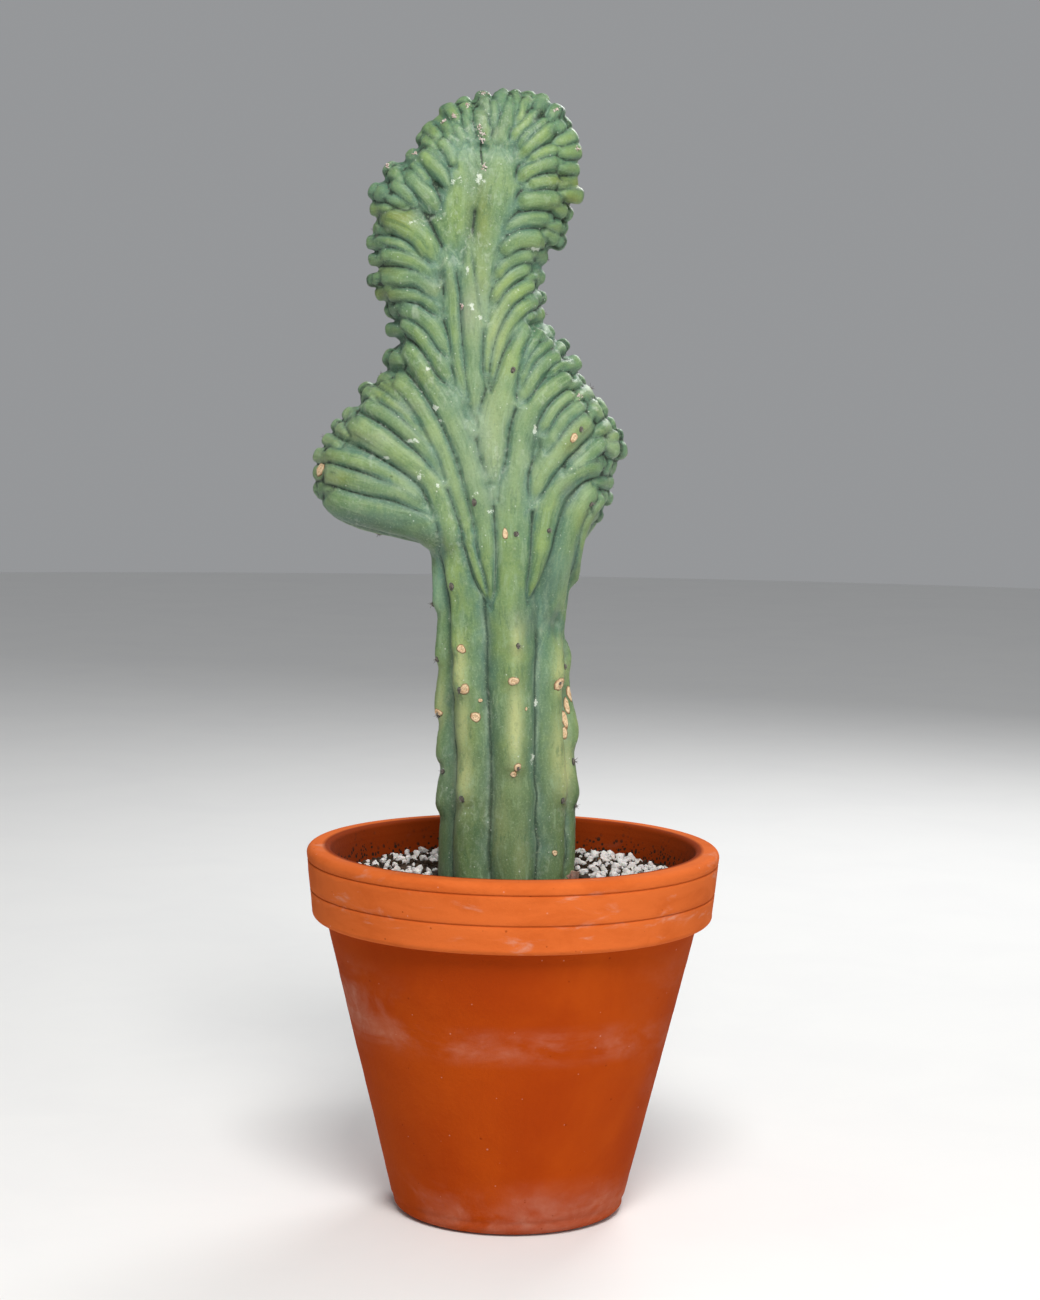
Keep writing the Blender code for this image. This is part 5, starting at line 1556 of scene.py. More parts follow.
def band_points(height):
    """The band's wall from the rim down, leaning in, with two scored lines."""
    def wall(z):
        """The band's radius at a height, without the lines."""
        share = (height - 3.4 * MM - z) / (BAND_HEIGHT - 7.4 * MM)
        return RIM_RADIUS + (BAND_LOWER_RADIUS - RIM_RADIUS) * share
    points = []
    for below in GROOVES_BELOW_TOP:
        z = height - below
        for step, depth in ((1, 0.0), (0.45, 0.25), (0.12, 0.95), (-0.12, 0.95), (-0.45, 0.25),
                            (-1, 0.0)):
            here = z + step * GROOVE_HALF
            points.append((float(wall(here)) - depth * GROOVE_DEPTH, here))
    return points


slope = (BODY_TOP_RADIUS - BASE_RADIUS) / SHOULDER
outline = [(RIM_INNER_RADIUS + 2.6 * MM, POT_HEIGHT), (RIM_RADIUS - 3.2 * MM, POT_HEIGHT)]
outline += arc((RIM_RADIUS - 3.4 * MM, POT_HEIGHT - 3.4 * MM), 3.4 * MM, 84, 4, 9)
outline += band_points(POT_HEIGHT)
outline += [(BAND_LOWER_RADIUS, SHOULDER + 4 * MM)]
outline += arc((BAND_LOWER_RADIUS - 3 * MM, SHOULDER + 3 * MM), 3 * MM, 0, -80, 7)
outline += [(BODY_TOP_RADIUS + 1 * MM, SHOULDER), (BODY_TOP_RADIUS, SHOULDER - 1.4 * MM)]
outline += [(BASE_RADIUS + slope * 9 * MM, 9 * MM)]
outline += arc((BASE_RADIUS - BASE_ROUND + 1 * MM, BASE_ROUND), BASE_ROUND, -2, -88, 10)
outline += [(DRAIN_RADIUS + 1.5 * MM, 0.0), (DRAIN_RADIUS, 1.5 * MM)]
outline += [(DRAIN_RADIUS, POT_FLOOR - 1 * MM), (DRAIN_RADIUS + 1 * MM, POT_FLOOR)]
outline += [(float(inner_radius(POT_FLOOR)) - 6 * MM, POT_FLOOR)]
outline += [(float(inner_radius(z)), z) for z in
            (POT_FLOOR + 6 * MM, SHOULDER - 4 * MM, SHOULDER + 4 * MM, POT_HEIGHT - 6 * MM)]
outline += arc((RIM_INNER_RADIUS + 2.4 * MM, POT_HEIGHT - 2.4 * MM), 2.4 * MM, 178, 96, 7)
print("outline points:", len(outline))

# %% Turning the outline
POT_TURNS = 256
POT_SPACING = 2.2 * MM


def fine_outline(marks, spacing):
    """The closed outline again with no step longer than the spacing; its corners stay."""
    marks = np.array(marks)
    after = np.roll(marks, -1, axis=0)
    counts = np.maximum(1, np.ceil(np.linalg.norm(after - marks, axis=1) / spacing)).astype(int)
    start = np.repeat(np.arange(len(marks)), counts)
    along = np.concatenate([np.arange(count) / count for count in counts])[:, None]
    return marks[start] * (1.0 - along) + after[start] * along


def turned(outline, turns):
    """Each outline point (r, z) carried round: x = r cos a, y = r sin a."""
    angle = round_angles(turns)
    radius, z = outline[:, 0][:, None], outline[:, 1][:, None]
    return stacked(radius * np.cos(angle), radius * np.sin(angle), z)


wall = turned(fine_outline(outline, POT_SPACING), POT_TURNS)
rows = len(wall)
wall = wall.reshape(-1, 3)
around = unit(wall * np.array([1.0, 1.0, 0.0]))
wander = 0.30 * noise(wall, 45 * MM, 11) + 0.10 * noise(wall * np.array([0.2, 0.2, 1.0]), 3 * MM, 12)
shown = (wall[:, 2] > 4 * MM) & (np.linalg.norm(wall[:, :2], axis=1) > DRAIN_RADIUS + 3 * MM)
wall = wall - around * (np.clip(wander + 0.4, 0.0, 0.8) * shown * MM)[:, None]
pot_faces = grid_faces(rows, POT_TURNS, closed=True)[:, ::-1]
pot = piece_from("fine_pot", wall, [pot_faces])
from_middle = np.linalg.norm(wall[:, :2], axis=1)
above_floor = wall[:, 2] > POT_FLOOR - 1 * MM
paint(pot.data, "inside", above_floor * (from_middle < inner_radius(wall[:, 2]) + 2.5 * MM))
print("pot:", len(pot_faces) * 2, "triangles")

# %% [markdown]
# ## The pot's clay
#
# Fired clay is orange and quite matt, and a used pot is never one colour. Water carries salts
# through the wall and leaves them as a pale haze, most of it at a tide line half-way down, at the
# foot and along one side. The rim and its band are rubbed paler than the body. Inside, the clay
# stays damp and is darker, and grains of soil stick to it above the soil's edge.

# %% The pot's clay
CLAY = (0.395, 0.056, 0.003)
CLAY_DEEP = (0.325, 0.038, 0.002)
CLAY_BAND = (0.600, 0.125, 0.025)
CLAY_DAMP = (0.175, 0.018, 0.000)
SALT = (0.640, 0.400, 0.310)
SALT_GREY = (0.560, 0.440, 0.370)
EARTH = (0.022, 0.013, 0.008)


def clay_finish():
    """Clouded clay, a paler band, salts at the tide line, the foot, the sides and the back, and
    damp clay with stuck soil inside."""
    finish, tree, shader = new_finish("fired_clay", 0.92, Specular_IOR_Level=0.07)
    x, y, z = (position(tree)[axis] for axis in "XYZ")
    band = remap(tree, z, SHOULDER - 1 * MM, SHOULDER + 0.5 * MM)
    places = strongest(
        tree,
        (hump(tree, z, 101 * MM, 13 * MM), 0.30),
        (remap(tree, z, 34 * MM, 8 * MM), 0.32),
        (times(tree, remap(tree, x, -40 * MM, -88 * MM), hump(tree, z, 112 * MM, 30 * MM)), 0.60),
        (times(tree, remap(tree, x, 55 * MM, 86 * MM), hump(tree, z, 95 * MM, 60 * MM)), 0.30),
        (times(tree, remap(tree, y, 20 * MM, 70 * MM), hump(tree, z, 70 * MM, 40 * MM)), 0.32),
    )
    streaky = times(tree, drift(tree, 95.0, 0.40, 0.75), 0.5, 0.5)
    haze = times(tree, drift(tree, 19.0, 0.38, 0.70, 2.0), streaky)
    pits = specks(tree, 360.0, 0.28, 0.06)
    clumps = times(tree, drift(tree, 60.0, 0.40, 0.60), 0.5)
    stuck = times(tree, remap(tree, z, 181 * MM, 170 * MM), 0.9, clumps)
    stuck = arithmetic(tree, "SUBTRACT", stuck, 0.35, clamp=True)
    stuck = times(tree, times(tree, stuck, specks(tree, 520.0, 0.75, 0.85)), stored(tree, "inside"))
    # Painted shade in the two scored lines of the band.
    groove_shade = [
        (hump(tree, z, POT_HEIGHT - below, 1.0 * MM), 0.35, CLAY_DEEP)
        for below in GROOVES_BELOW_TOP
    ]
    colour = layered(
        tree, CLAY,
        ((DRIFT, 13.0, 0.30, 0.72), 1.0, CLAY_DEEP),
        (band, 1.0, CLAY_BAND),
        (times(tree, drift(tree, 24.0, 0.42, 0.66, 2.5), band), 0.30, CLAY),
        (times(tree, places, haze), 1.0, SALT),
        (times(tree, drift(tree, 33.0, 0.56, 0.74, 3.5), band), 0.34, SALT_GREY),
        *groove_shade,
        ((SPECKS, 480.0, 0.30, 0.035), 0.30, SALT),
        (pits, 0.5, CLAY_DAMP),
        ("inside", 0.92, CLAY_DAMP),
        (times(tree, stuck, 2.2, clamp=True), 1.0, EARTH),
    )
    tree.links.new(colour, shader.inputs["Base Color"])
    bumped(tree, shader, times(tree, pits, -0.8, grain(tree, 520.0, 0.6)), 0.35, 0.0005)
    return finish


settle(pot, clay_finish(), ("pot",))

# %% [markdown]
# ## The soil
#
# Potting soil is a bed of crumbs. The bed itself is a turned body whose top rises and dips, and
# on it lie over a thousand crumbs, each a lump of twenty faces pushed about at random.
# There are a few long splinters of bark among them, which are the same lump drawn out.

# %% A lump of twenty faces
SOIL_TOP = 170.0 * MM
STEM_HOLE_RADIUS, STEM_HOLE_FLOOR = 40.5 * MM, 145.0 * MM
BELT_RADIUS, BELT_HEIGHT = 0.894, 0.447  # 2 and 1 over the square root of 5
turn = round_angles(5)
LUMP_POINTS = np.concatenate([[UP]] + [
    stacked(BELT_RADIUS * np.cos(angle), BELT_RADIUS * np.sin(angle), height)
    for angle, height in ((turn, BELT_HEIGHT), (turn + math.pi / 5, -BELT_HEIGHT))
] + [[-UP]])
LUMP_FACES = np.array(
    [(0, 1 + k, 1 + (k + 1) % 5) for k in range(5)]
    + [(1 + k, 6 + k, 1 + (k + 1) % 5) for k in range(5)]
    + [(1 + (k + 1) % 5, 6 + k, 6 + (k + 1) % 5) for k in range(5)]
    + [(11, 6 + (k + 1) % 5, 6 + k) for k in range(5)]
)
print("one lump:", len(LUMP_POINTS), "points and", len(LUMP_FACES), "faces")


def random_turns(count, chance):
    """Rotation matrices from random unit quaternions, so that every way up is as likely."""
    w, x, y, z = unit(chance.normal(size=(count, 4))).T
    return np.stack([
        stacked(1 - 2 * (y * y + z * z), 2 * (x * y - z * w), 2 * (x * z + y * w)),
        stacked(2 * (x * y + z * w), 1 - 2 * (x * x + z * z), 2 * (y * z - x * w)),
        stacked(2 * (x * z - y * w), 2 * (y * z + x * w), 1 - 2 * (x * x + y * y)),
    ], axis=1)


def lumps(places, radii, stretch, unevenness, chance):
    """Copies of the lump: each point pushed in or out, then stretched, turned and placed."""
    count = len(places)
    push = chance.uniform(1.0 - unevenness, 1.0 + unevenness, (count, len(LUMP_POINTS), 1))
    shapes = LUMP_POINTS[None] * push * stretch[:, None] * radii[:, None, None]
    shapes = np.einsum("nij,nkj->nki", random_turns(count, chance), shapes) + places[:, None]
    faces = LUMP_FACES[None] + np.arange(count)[:, None, None] * len(LUMP_POINTS)
    return shapes.reshape(-1, 3), faces.reshape(-1, 3)


# %% The bed of soil
BED_TURNS, BED_RINGS = 160, 30
BED_GAP = 0.5 * MM


def bed_height(x, y):
    """The soil's top: low mounds, a finer roughness, and a slight rise towards the stem."""
    spots = stacked(x, y, 0.0).reshape(-1, 3)
    mounds = 1.0 * noise(spots, 17 * MM, 21) + 0.5 * noise(spots, 5 * MM, 22)
    return SOIL_TOP - 0.6 * MM + mounds.reshape(x.shape) * MM


angle = round_angles(BED_TURNS)
reach = float(inner_radius(SOIL_TOP)) - BED_GAP
top_share = np.linspace(0.0, 1.0, BED_RINGS)[:, None]
centre_x = STEM_X * (1.0 - top_share)
radius = (STEM_HOLE_RADIUS - 1.5 * MM) * (1.0 - top_share) + reach * top_share
x, y = centre_x + radius * np.cos(angle), radius * np.sin(angle)
top = stacked(x, y, bed_height(x, y))
side = turned(np.array([(float(inner_radius(z)) - BED_GAP, z) for z in
                        (166 * MM, SHOULDER + 4 * MM, SHOULDER - 4 * MM, 80 * MM, 18.5 * MM)]
                       + [(float(inner_radius(POT_FLOOR)) - 6.5 * MM, POT_FLOOR + BED_GAP)]),
              BED_TURNS)
well = stacked(top[0, :, 0], top[0, :, 1], STEM_HOLE_FLOOR)
bed_rings = np.concatenate([well[None], top, side])
bed_points, bed_faces = closed_tube(
    bed_rings[:, ::-1], np.array([STEM_X, 0.0, STEM_HOLE_FLOOR]),
    np.array([0.0, 0.0, POT_FLOOR + BED_GAP])
)
print("bed of soil:", len(bed_faces), "faces")

# %% Crumbs on the bed
CRUMBS, BARK = 1500, 70
chance = np.random.default_rng(23)


def in_ring(count, inner, outer, chance):
    """Random places between the stem and the wall, evenly spread: r grows as a square root."""
    around = chance.uniform(0.0, math.tau, count)
    share = np.sqrt(chance.uniform(0.0, 1.0, count))
    far = inner + (outer - inner) * share
    middle = STEM_X * (1.0 - share)
    return middle + far * np.cos(around), far * np.sin(around)


inner, outer = STEM_HOLE_RADIUS - 3 * MM, reach - 1.5 * MM
x, y = in_ring(CRUMBS, inner, outer, chance)
radii = chance.uniform(0.5, 1.0, CRUMBS) ** 2 * 2.1 * MM
places = stacked(x, y, bed_height(x, y) + radii * chance.uniform(0.0, 0.5, CRUMBS))
stretch = chance.uniform(0.65, 1.2, (CRUMBS, 3))
crumbs = lumps(places, radii, stretch, 0.28, chance)
x, y = in_ring(BARK, inner + 3 * MM, outer - 4 * MM, chance)
places = stacked(x, y, bed_height(x, y) + 0.6 * MM)
slivers = np.tile([1.0, 0.42, 0.3], (BARK, 1))
slivers[:, 0] = chance.uniform(1.6, 3.4, BARK)
bark = lumps(places, np.full(BARK, 1.3 * MM), slivers, 0.2, chance)
soil = piece_from("soil_bed", *joined([
    (bed_points, bed_faces), (crumbs[0], [crumbs[1]]), (bark[0], [bark[1]]),
]))
farthest = [np.linalg.norm(shapes[:, :2], axis=1).max() / MM for shapes, _ in (crumbs, bark)]
print("crumbs and bark reach", np.round(farthest, 1), "mm from the middle")

settle(soil, simple_finish(
    "dark_soil", 0.95, EARTH,
    ((DRIFT, 150.0, 0.35, 0.70), 1.0, (0.060, 0.036, 0.020)),
    ((SPECKS, 330.0, 0.50, 0.14), 1.0, (0.120, 0.062, 0.030)),
    ((SPECKS, 420.0, 0.35, 0.06), 1.0, (0.34, 0.30, 0.26)),
    grit=(700.0, 0.8, 0.8, 0.0008), Specular_IOR_Level=0.15,
), ("soil",))

# %% [markdown]
# ## The perlite
#
# Perlite is glass that was blown up by heat: white, light and angular, with flat broken faces.
# Each crumb is cut by a handful of random planes. In any direction its surface lies where the
# first plane is met, so r = the smallest of h / (direction . normal) over the planes in front.
# The crumbs lie in loose patches, most of them right of the stem, and thin out towards the back.

# %% Angular crumbs
PERLITE_TRIES = 3600
PERLITE_PLANES = 9
PATCH_SIZE = 14 * MM
CRUMB_GAP, CRUMB_LIFT = 0.86, 0.45  # over the radii: how close two come, how high each lies
ball = bmesh.new()
bmesh.ops.create_icosphere(ball, subdivisions=2, radius=1.0)
DIRECTIONS = np.array([vertex.co[:] for vertex in ball.verts])
BALL_FACES = np.array([[vertex.index for vertex in face.verts] for face in ball.faces])
ball.free()


def broken_crumbs(places, radii, chance):
    """Many crumbs at once: the planes are one array, the directions another."""
    count = len(places)
    normals = unit(chance.normal(size=(count, PERLITE_PLANES, 3)))
    offsets = chance.uniform(0.55, 1.0, (count, PERLITE_PLANES))
    facing = np.maximum(np.einsum("dk,npk->ndp", DIRECTIONS, normals), 0.05)
    reach = np.minimum((offsets[:, None] / facing).min(axis=2), 1.25)
    stretch = chance.uniform(0.75, 1.15, (count, 1, 3))
    shapes = DIRECTIONS[None] * reach[..., None] * stretch * radii[:, None, None]
    points = (shapes + places[:, None]).reshape(-1, 3)
    faces = BALL_FACES[None] + np.arange(count)[:, None, None] * len(DIRECTIONS)
    return points, faces.reshape(-1, 3)


def perlite_places(chance):
    """Random places, each kept where the drift is thick enough and no crumb is too close."""
    x, y = in_ring(PERLITE_TRIES, STEM_HOLE_RADIUS - 1 * MM, reach - 3.5 * MM, chance)
    radii = (0.8 + 1.8 * chance.uniform(0.0, 1.0, PERLITE_TRIES) ** 1.5) * MM
    patches = noise(stacked(x, y, 0.0), PATCH_SIZE, 31)
    back = soft_step(8 * MM, 40 * MM, y)
    beside_stem = soft_step(24 * MM, 34 * MM, x) * (1.0 - soft_step(60 * MM, 75 * MM, x))
    thick = 0.38 - 0.22 * back + 0.80 * patches + 0.45 * beside_stem
    wanted = chance.uniform(0.0, 1.0, PERLITE_TRIES) < thick
    order = np.argsort(-radii)
    kept = []
    for k in order[wanted[order]]:
        if kept:
            gap = np.hypot(x[kept] - x[k], y[kept] - y[k])
            if (gap < CRUMB_GAP * (radii[kept] + radii[k])).any():
                continue
        if math.hypot(x[k], y[k]) + radii[k] * 1.2 < reach:
            kept.append(int(k))
    z = bed_height(x[kept], y[kept]) + radii[kept] * CRUMB_LIFT
    return stacked(x[kept], y[kept], z), radii[kept]


chance = np.random.default_rng(29)
places, radii = perlite_places(chance)
points, faces = broken_crumbs(places, radii, chance)
perlite = piece_from("perlite_crumbs", points, [faces], smooth=False)
print("perlite crumbs:", len(places))


def perlite_finish():
    """White, with greyer, warmer and dirty spots, and bubbles that broke open."""
    finish, tree, shader = new_finish("white_perlite", 0.9, Subsurface_Weight=0.10,
                                      Subsurface_Scale=0.002)
    colour = layered(
        tree, (0.70, 0.67, 0.65),
        ((DRIFT, 210.0, 0.35, 0.72), 1.0, (0.48, 0.455, 0.44)),
        ((DRIFT, 75.0, 0.55, 0.75), 0.35, (0.60, 0.50, 0.42)),
        ((SPECKS, 520.0, 0.45, 0.10), 0.8, (0.10, 0.07, 0.05)),
    )
    tree.links.new(colour, shader.inputs["Base Color"])
    pitted = times(tree, specks(tree, 900.0, 0.5, 0.8), -0.6, grain(tree, 900.0, 0.6))
    bumped(tree, shader, pitted, 0.6, 0.0006)
    return finish


settle(perlite, perlite_finish(), ("perlite",))

# %% [markdown]
# ## Areoles, spines, scars and wool
#
# Each areole is a small pad of felt that carries a few short dark spines. Old scars are tan and
# corky, raised like a blister, with a dip in the middle. The youngest tips of the edge carry a
# tuft of pale wool. All of them sit where they are seen: a ray is sent from the eye of the
# camera through the spot's place on the plane y = 0, and the skin that it meets first carries
# the piece. On the back they follow the crests of the ribs.

# %% Finding the skin under a spot
skin_tree = BVHTree.FromPolygons(
    [tuple(point) for point in skin], [tuple(p.vertices) for p in cactus.data.polygons]
)
print("faces that a ray can meet:", len(cactus.data.polygons))


def seen_on_skin(x_mm, z_mm):
    """Where the line of sight through (x, 0, z) meets the skin, and the way out of it."""
    aim = Vector((x_mm * MM, 0.0, z_mm * MM)) - Vector(EYE)
    place, normal, _, _ = skin_tree.ray_cast(Vector(EYE), aim.normalized())
    if place is None:
        place, normal, _, _ = skin_tree.find_nearest(Vector((x_mm * MM, -15 * MM, z_mm * MM)))
    return np.array(place), np.array(normal)


def on_crest(rib, place):
    """The skin nearest to a place of a rib's crest, and the way out of it."""
    spot, normal, _, _ = skin_tree.find_nearest(Vector(rib["crest"][place]))
    return np.array(spot), np.array(normal)


def upright_frame(normal):
    """Two directions in the skin, across and up, and the one out of it, as a matrix's rows."""
    up = UP - normal * normal[2]
    up = unit(up if np.linalg.norm(up) > 0.05 else np.array([0.0, 1.0, 0.0]))
    return np.stack([np.cross(up, normal), up, normal])


# %% Where the areoles are
FRONT_AREOLES = (
    (-33.2, 318), (0.9, 288.5), (-28.4, 265.5), (1.8, 226), (-26.5, 210), (24.7, 210),
    (34.7, 208.5), (-22.3, 360.5), (-1, 345), (15.5, 347), (-3.8, 427), (-46.1, 309),
    (-38.8, 226), (30.7, 398), (36.4, 360.5), (-40, 281), (-40.5, 253), (22, 270), (33, 281),
    (33.5, 233),
)
AREOLE_GAP = 13 * MM
EDGE_AREOLES = 3  # one tip of the growing edge in so many shows its areole
areoles = [seen_on_skin(x, z) for x, z in FRONT_AREOLES]
for rib in column:
    heights = rib["crest"][:, 2]
    shown = [z for z in rib["areoles"] if z > SOIL_TOP + 12 * MM]
    areoles += [on_crest(rib, int(np.abs(heights - z).argmin())) for z in shown]
areoles += [on_crest(rib, 4) for rib in edge[::EDGE_AREOLES] if rib["crest"][4][1] > 0]
pick = random.Random(SEED + 2)
for rib in backs * 3:
    if len(rib["crest"]) > 20:
        spot = on_crest(rib, pick.randrange(10, len(rib["crest"]) - 8))
        if min(np.linalg.norm(spot[0] - other[0]) for other in areoles) > AREOLE_GAP:
            areoles.append(spot)
print(len(areoles), "areoles")

# %% Felt pads and spines
PAD_SIDES, PAD_RINGS = 10, 5
SPINE_SIDES = 4


def cap(place, normal, half_width, half_height, rise, chance, dip=0.0, sink=0.8 * MM):
    """A closed lens that follows the skin under it. Its height over the radius r is
    rise (1 - r^4), less a dip (1 - 4 r^2) in the middle; its underside is a little inside."""
    radius = np.linspace(0.12, 1.0, PAD_RINGS)[:, None]
    angle = round_angles(PAD_SIDES)
    wobble = 1.0 + 0.14 * np.sin(2 * angle + chance.uniform(0, 6)) \
        + 0.08 * np.sin(3 * angle + chance.uniform(0, 6))
    across, upwards, out_of = upright_frame(normal)
    flat = place + (half_width * radius * wobble * np.cos(angle))[..., None] * across
    flat = flat + (half_height * radius * wobble * np.sin(angle))[..., None] * upwards
    on_it = [skin_tree.find_nearest(Vector(point))[0] for point in flat.reshape(-1, 3)]
    on_it = np.array(on_it).reshape(flat.shape)
    height = rise * (1.0 - radius ** 4) - dip * np.maximum(1.0 - 4.0 * radius ** 2, 0.0)
    height = height * (1.0 + 0.22 * np.sin(5 * angle + chance.uniform(0, 6)))
    top = on_it + height[..., None] * out_of
    under = on_it[-1:] * 0.85 + on_it[-1].mean(axis=0) * 0.15 - out_of * sink
    middle = top[0].mean(axis=0)
    return closed_tube(np.concatenate([top, under]), middle, under[0].mean(axis=0))


def rim_values(count):
    """For each point of so many caps, how near the rim it lies: 0 in the middle, 1 outside."""
    radius = np.append(np.linspace(0.12, 1.0, PAD_RINGS), 1.0)
    one = np.concatenate([np.repeat(radius, PAD_SIDES), [0.0, 1.0]])
    return np.tile(one, count)


def spine(foot, aim, length, thick):
    """A thin cone of four sides; its foot is sunk into the pad."""
    rows = upright_frame(aim)
    angle = round_angles(SPINE_SIDES)
    ring = stacked(np.cos(angle), np.sin(angle), 0.0)
    levels = np.array([(-0.6 * MM, 1.0), (0.35 * length, 0.75), (0.8 * length, 0.35)])
    rings = np.stack([ring * thick * share + [0, 0, rise] for rise, share in levels])
    rings = rings @ rows + foot
    return closed_tube(rings, foot - aim * 0.7 * MM, foot + aim * length)


chance = np.random.default_rng(41)
pads, spines = [], []
for place, normal in areoles:
    size = chance.uniform(1.1, 1.6) * MM
    pads.append(cap(place, normal, size, size * 1.25, 0.7 * MM, chance))
    rows = upright_frame(normal)
    count = chance.integers(4, 8)
    for k in range(count):
        turn = math.tau * (k + chance.uniform(-0.3, 0.3)) / count
        lean = chance.uniform(0.5, 1.3)
        aim = unit(rows[2] + lean * (rows[0] * math.cos(turn) + rows[1] * math.sin(turn)))
        length = chance.uniform(1.5, 3.2) * MM
        spines.append(spine(place + normal * 0.35 * MM, aim, length, 0.20 * MM))
felt = piece_from("areole_felt", *joined(pads))
paint(felt.data, "rim", rim_values(len(pads)))
thorns = piece_from("short_spines", *joined(spines))

settle(felt, simple_finish(
    "grey_felt", 0.95, (0.19, 0.16, 0.125),
    ((DRIFT, 900.0, 0.35, 0.65), 1.0, (0.070, 0.058, 0.045)),
    (("rim", 0.55, 1.0), 1.0, (0.030, 0.038, 0.024)),
    grit=(1800.0, 0.8, 0.8, 0.0004), Sheen_Weight=0.3,
))
settle(thorns, simple_finish(
    "dark_spines", 0.55, (0.060, 0.050, 0.043),
    ((DRIFT, 500.0, 0.40, 0.62), 1.0, (0.260, 0.240, 0.215)),
))

# %% Corky scars
# Each scar: x, z, half width, half height, in millimetres.
SCARS = (
    (-27.7, 286.5, 2.2, 2.0), (-25.9, 266, 2.6, 2.5), (-20.1, 252, 2.3, 2.6),
    (-39.2, 254, 2.4, 2.0), (-17.8, 260.5, 1.0, 1.0), (-0.9, 270.5, 2.8, 2.3),
    (22.7, 269.5, 4.4, 3.2), (27.0, 264.5, 1.8, 3.8), (25.8, 258.5, 1.7, 4.0),
    (24.9, 251.5, 1.7, 4.2), (24.6, 244.5, 1.7, 3.4), (1.5, 226.5, 1.8, 2.2),
    (-0.4, 223, 1.8, 1.4), (21.1, 183, 1.6, 1.3), (5.4, 256.5, 0.7, 0.8),
    (-99.6, 376, 3.2, 4.2), (-6.5, 345, 1.2, 2.9), (27.3, 393.5, 2.2, 2.2),
)
SCAR_GROWTH = 1.12
scars = []
for x, z, half_width, half_height in SCARS:
    place, normal = seen_on_skin(x, z)
    scars.append(cap(place, normal, half_width * SCAR_GROWTH * MM, half_height * SCAR_GROWTH * MM,
                     0.7 * MM, chance, dip=0.45 * MM))
for rib in column[::2]:
    place, normal = on_crest(rib, int(chance.integers(60, 90)))
    size = chance.uniform(0.9, 1.9) * MM
    scars.append(cap(place, normal, size, size * 1.3, 0.6 * MM, chance, dip=0.4 * MM))
cork = piece_from("corky_scars", *joined(scars))
paint(cork.data, "rim", rim_values(len(scars)))


def cork_finish():
    """Tan, with the burnt patches, rings and dark rim of cork that grew in layers."""
    finish, tree, shader = new_finish("tan_cork", 0.9)
    rings = arithmetic(tree, "SINE", times(tree, stored(tree, "rim"), 17.0))
    colour = layered(
        tree, (0.700, 0.530, 0.330),
        ((DRIFT, 420.0, 0.45, 0.68), 1.0, (0.480, 0.290, 0.145)),
        (remap(tree, rings, 0.2, 1.0), 0.45, (0.330, 0.165, 0.070)),
        (("rim", 0.78, 1.0), 1.0, (0.150, 0.070, 0.026)),
        ((SPECKS, 1100.0, 0.5, 0.3), 0.6, (0.16, 0.08, 0.04)),
    )
    tree.links.new(colour, shader.inputs["Base Color"])
    bumped(tree, shader, grain(tree, 1300.0, 0.7), 0.7, 0.0004)
    return finish


settle(cork, cork_finish())

# %% Wool on the young tips
WOOL = (
    (-20.5, 563), (-28, 556.5), (-34.9, 551.7), (-39.9, 549), (15.2, 555.5), (26, 537),
    (-67.5, 527), (-54.2, 533), (29.5, 414.5), (-22.3, 546.3), (-21.2, 543.4), (-20.7, 540.5),
    (-20, 527.2), (-29.4, 457.8),
)
WOOL_GRAINS = 16
tufts = [seen_on_skin(x, z) for x, z in WOOL]
tufts += [on_crest(rib, 2) for rib in edge[2::9] if rib["crest"][2][1] > 0]
grains = []
for place, normal in tufts:
    rows = upright_frame(normal)
    across = chance.normal(0.0, 0.75, (WOOL_GRAINS, 3)) * MM
    across[:, 2] = np.abs(across[:, 2]) * 0.4
    radii = chance.uniform(0.18, 0.42, WOOL_GRAINS) * MM
    stretch = chance.uniform(0.6, 1.6, (WOOL_GRAINS, 3))
    points, faces = lumps(place + across @ rows, radii, stretch, 0.3, chance)
    grains.append((points, [faces]))
wool = piece_from("pale_wool", *joined(grains))

settle(wool, simple_finish(
    "pale_wool", 0.95, (0.66, 0.58, 0.54),
    ((DRIFT, 600.0, 0.40, 0.66), 1.0, (0.42, 0.26, 0.22)),
    Sheen_Weight=0.4,
))

# %% [markdown]
# ## Litter at the foot
#
# Where the stem leaves the soil, a few pale dry rootlets curl over the surface, and a scrap of
# papery brown skin leans against the stem on the right. A rootlet is a thin tube along a curve
# whose heading wanders: each step turns a little more or less than the last.

# %% Rootlets and a dry scrap
ROOTLETS = 9
ROOT_SIDES, ROOT_STEPS = 6, 26
ROOT_STRIDE = 0.75 * MM
STEM_RADIUS = 36.0  # in millimetres
SCRAP_RINGS, SCRAP_SIDES, SCRAP_THICK = 7, 24, 0.25 * MM
chance = np.random.default_rng(53)


def tube_along(path, radius, sides):
    """Rings square to the path; the radius may change along it."""
    along = unit(np.gradient(path, axis=0))
    side = unit(np.cross(along, np.array([0.1, 0.05, 1.0])))
    up = np.cross(side, along)
    angle = round_angles(sides)[:, None]
    rings = path[:, None] + radius[:, None, None] * (
        side[:, None] * np.cos(angle) + up[:, None] * np.sin(angle)
    )
    return closed_tube(rings, path[0], path[-1])


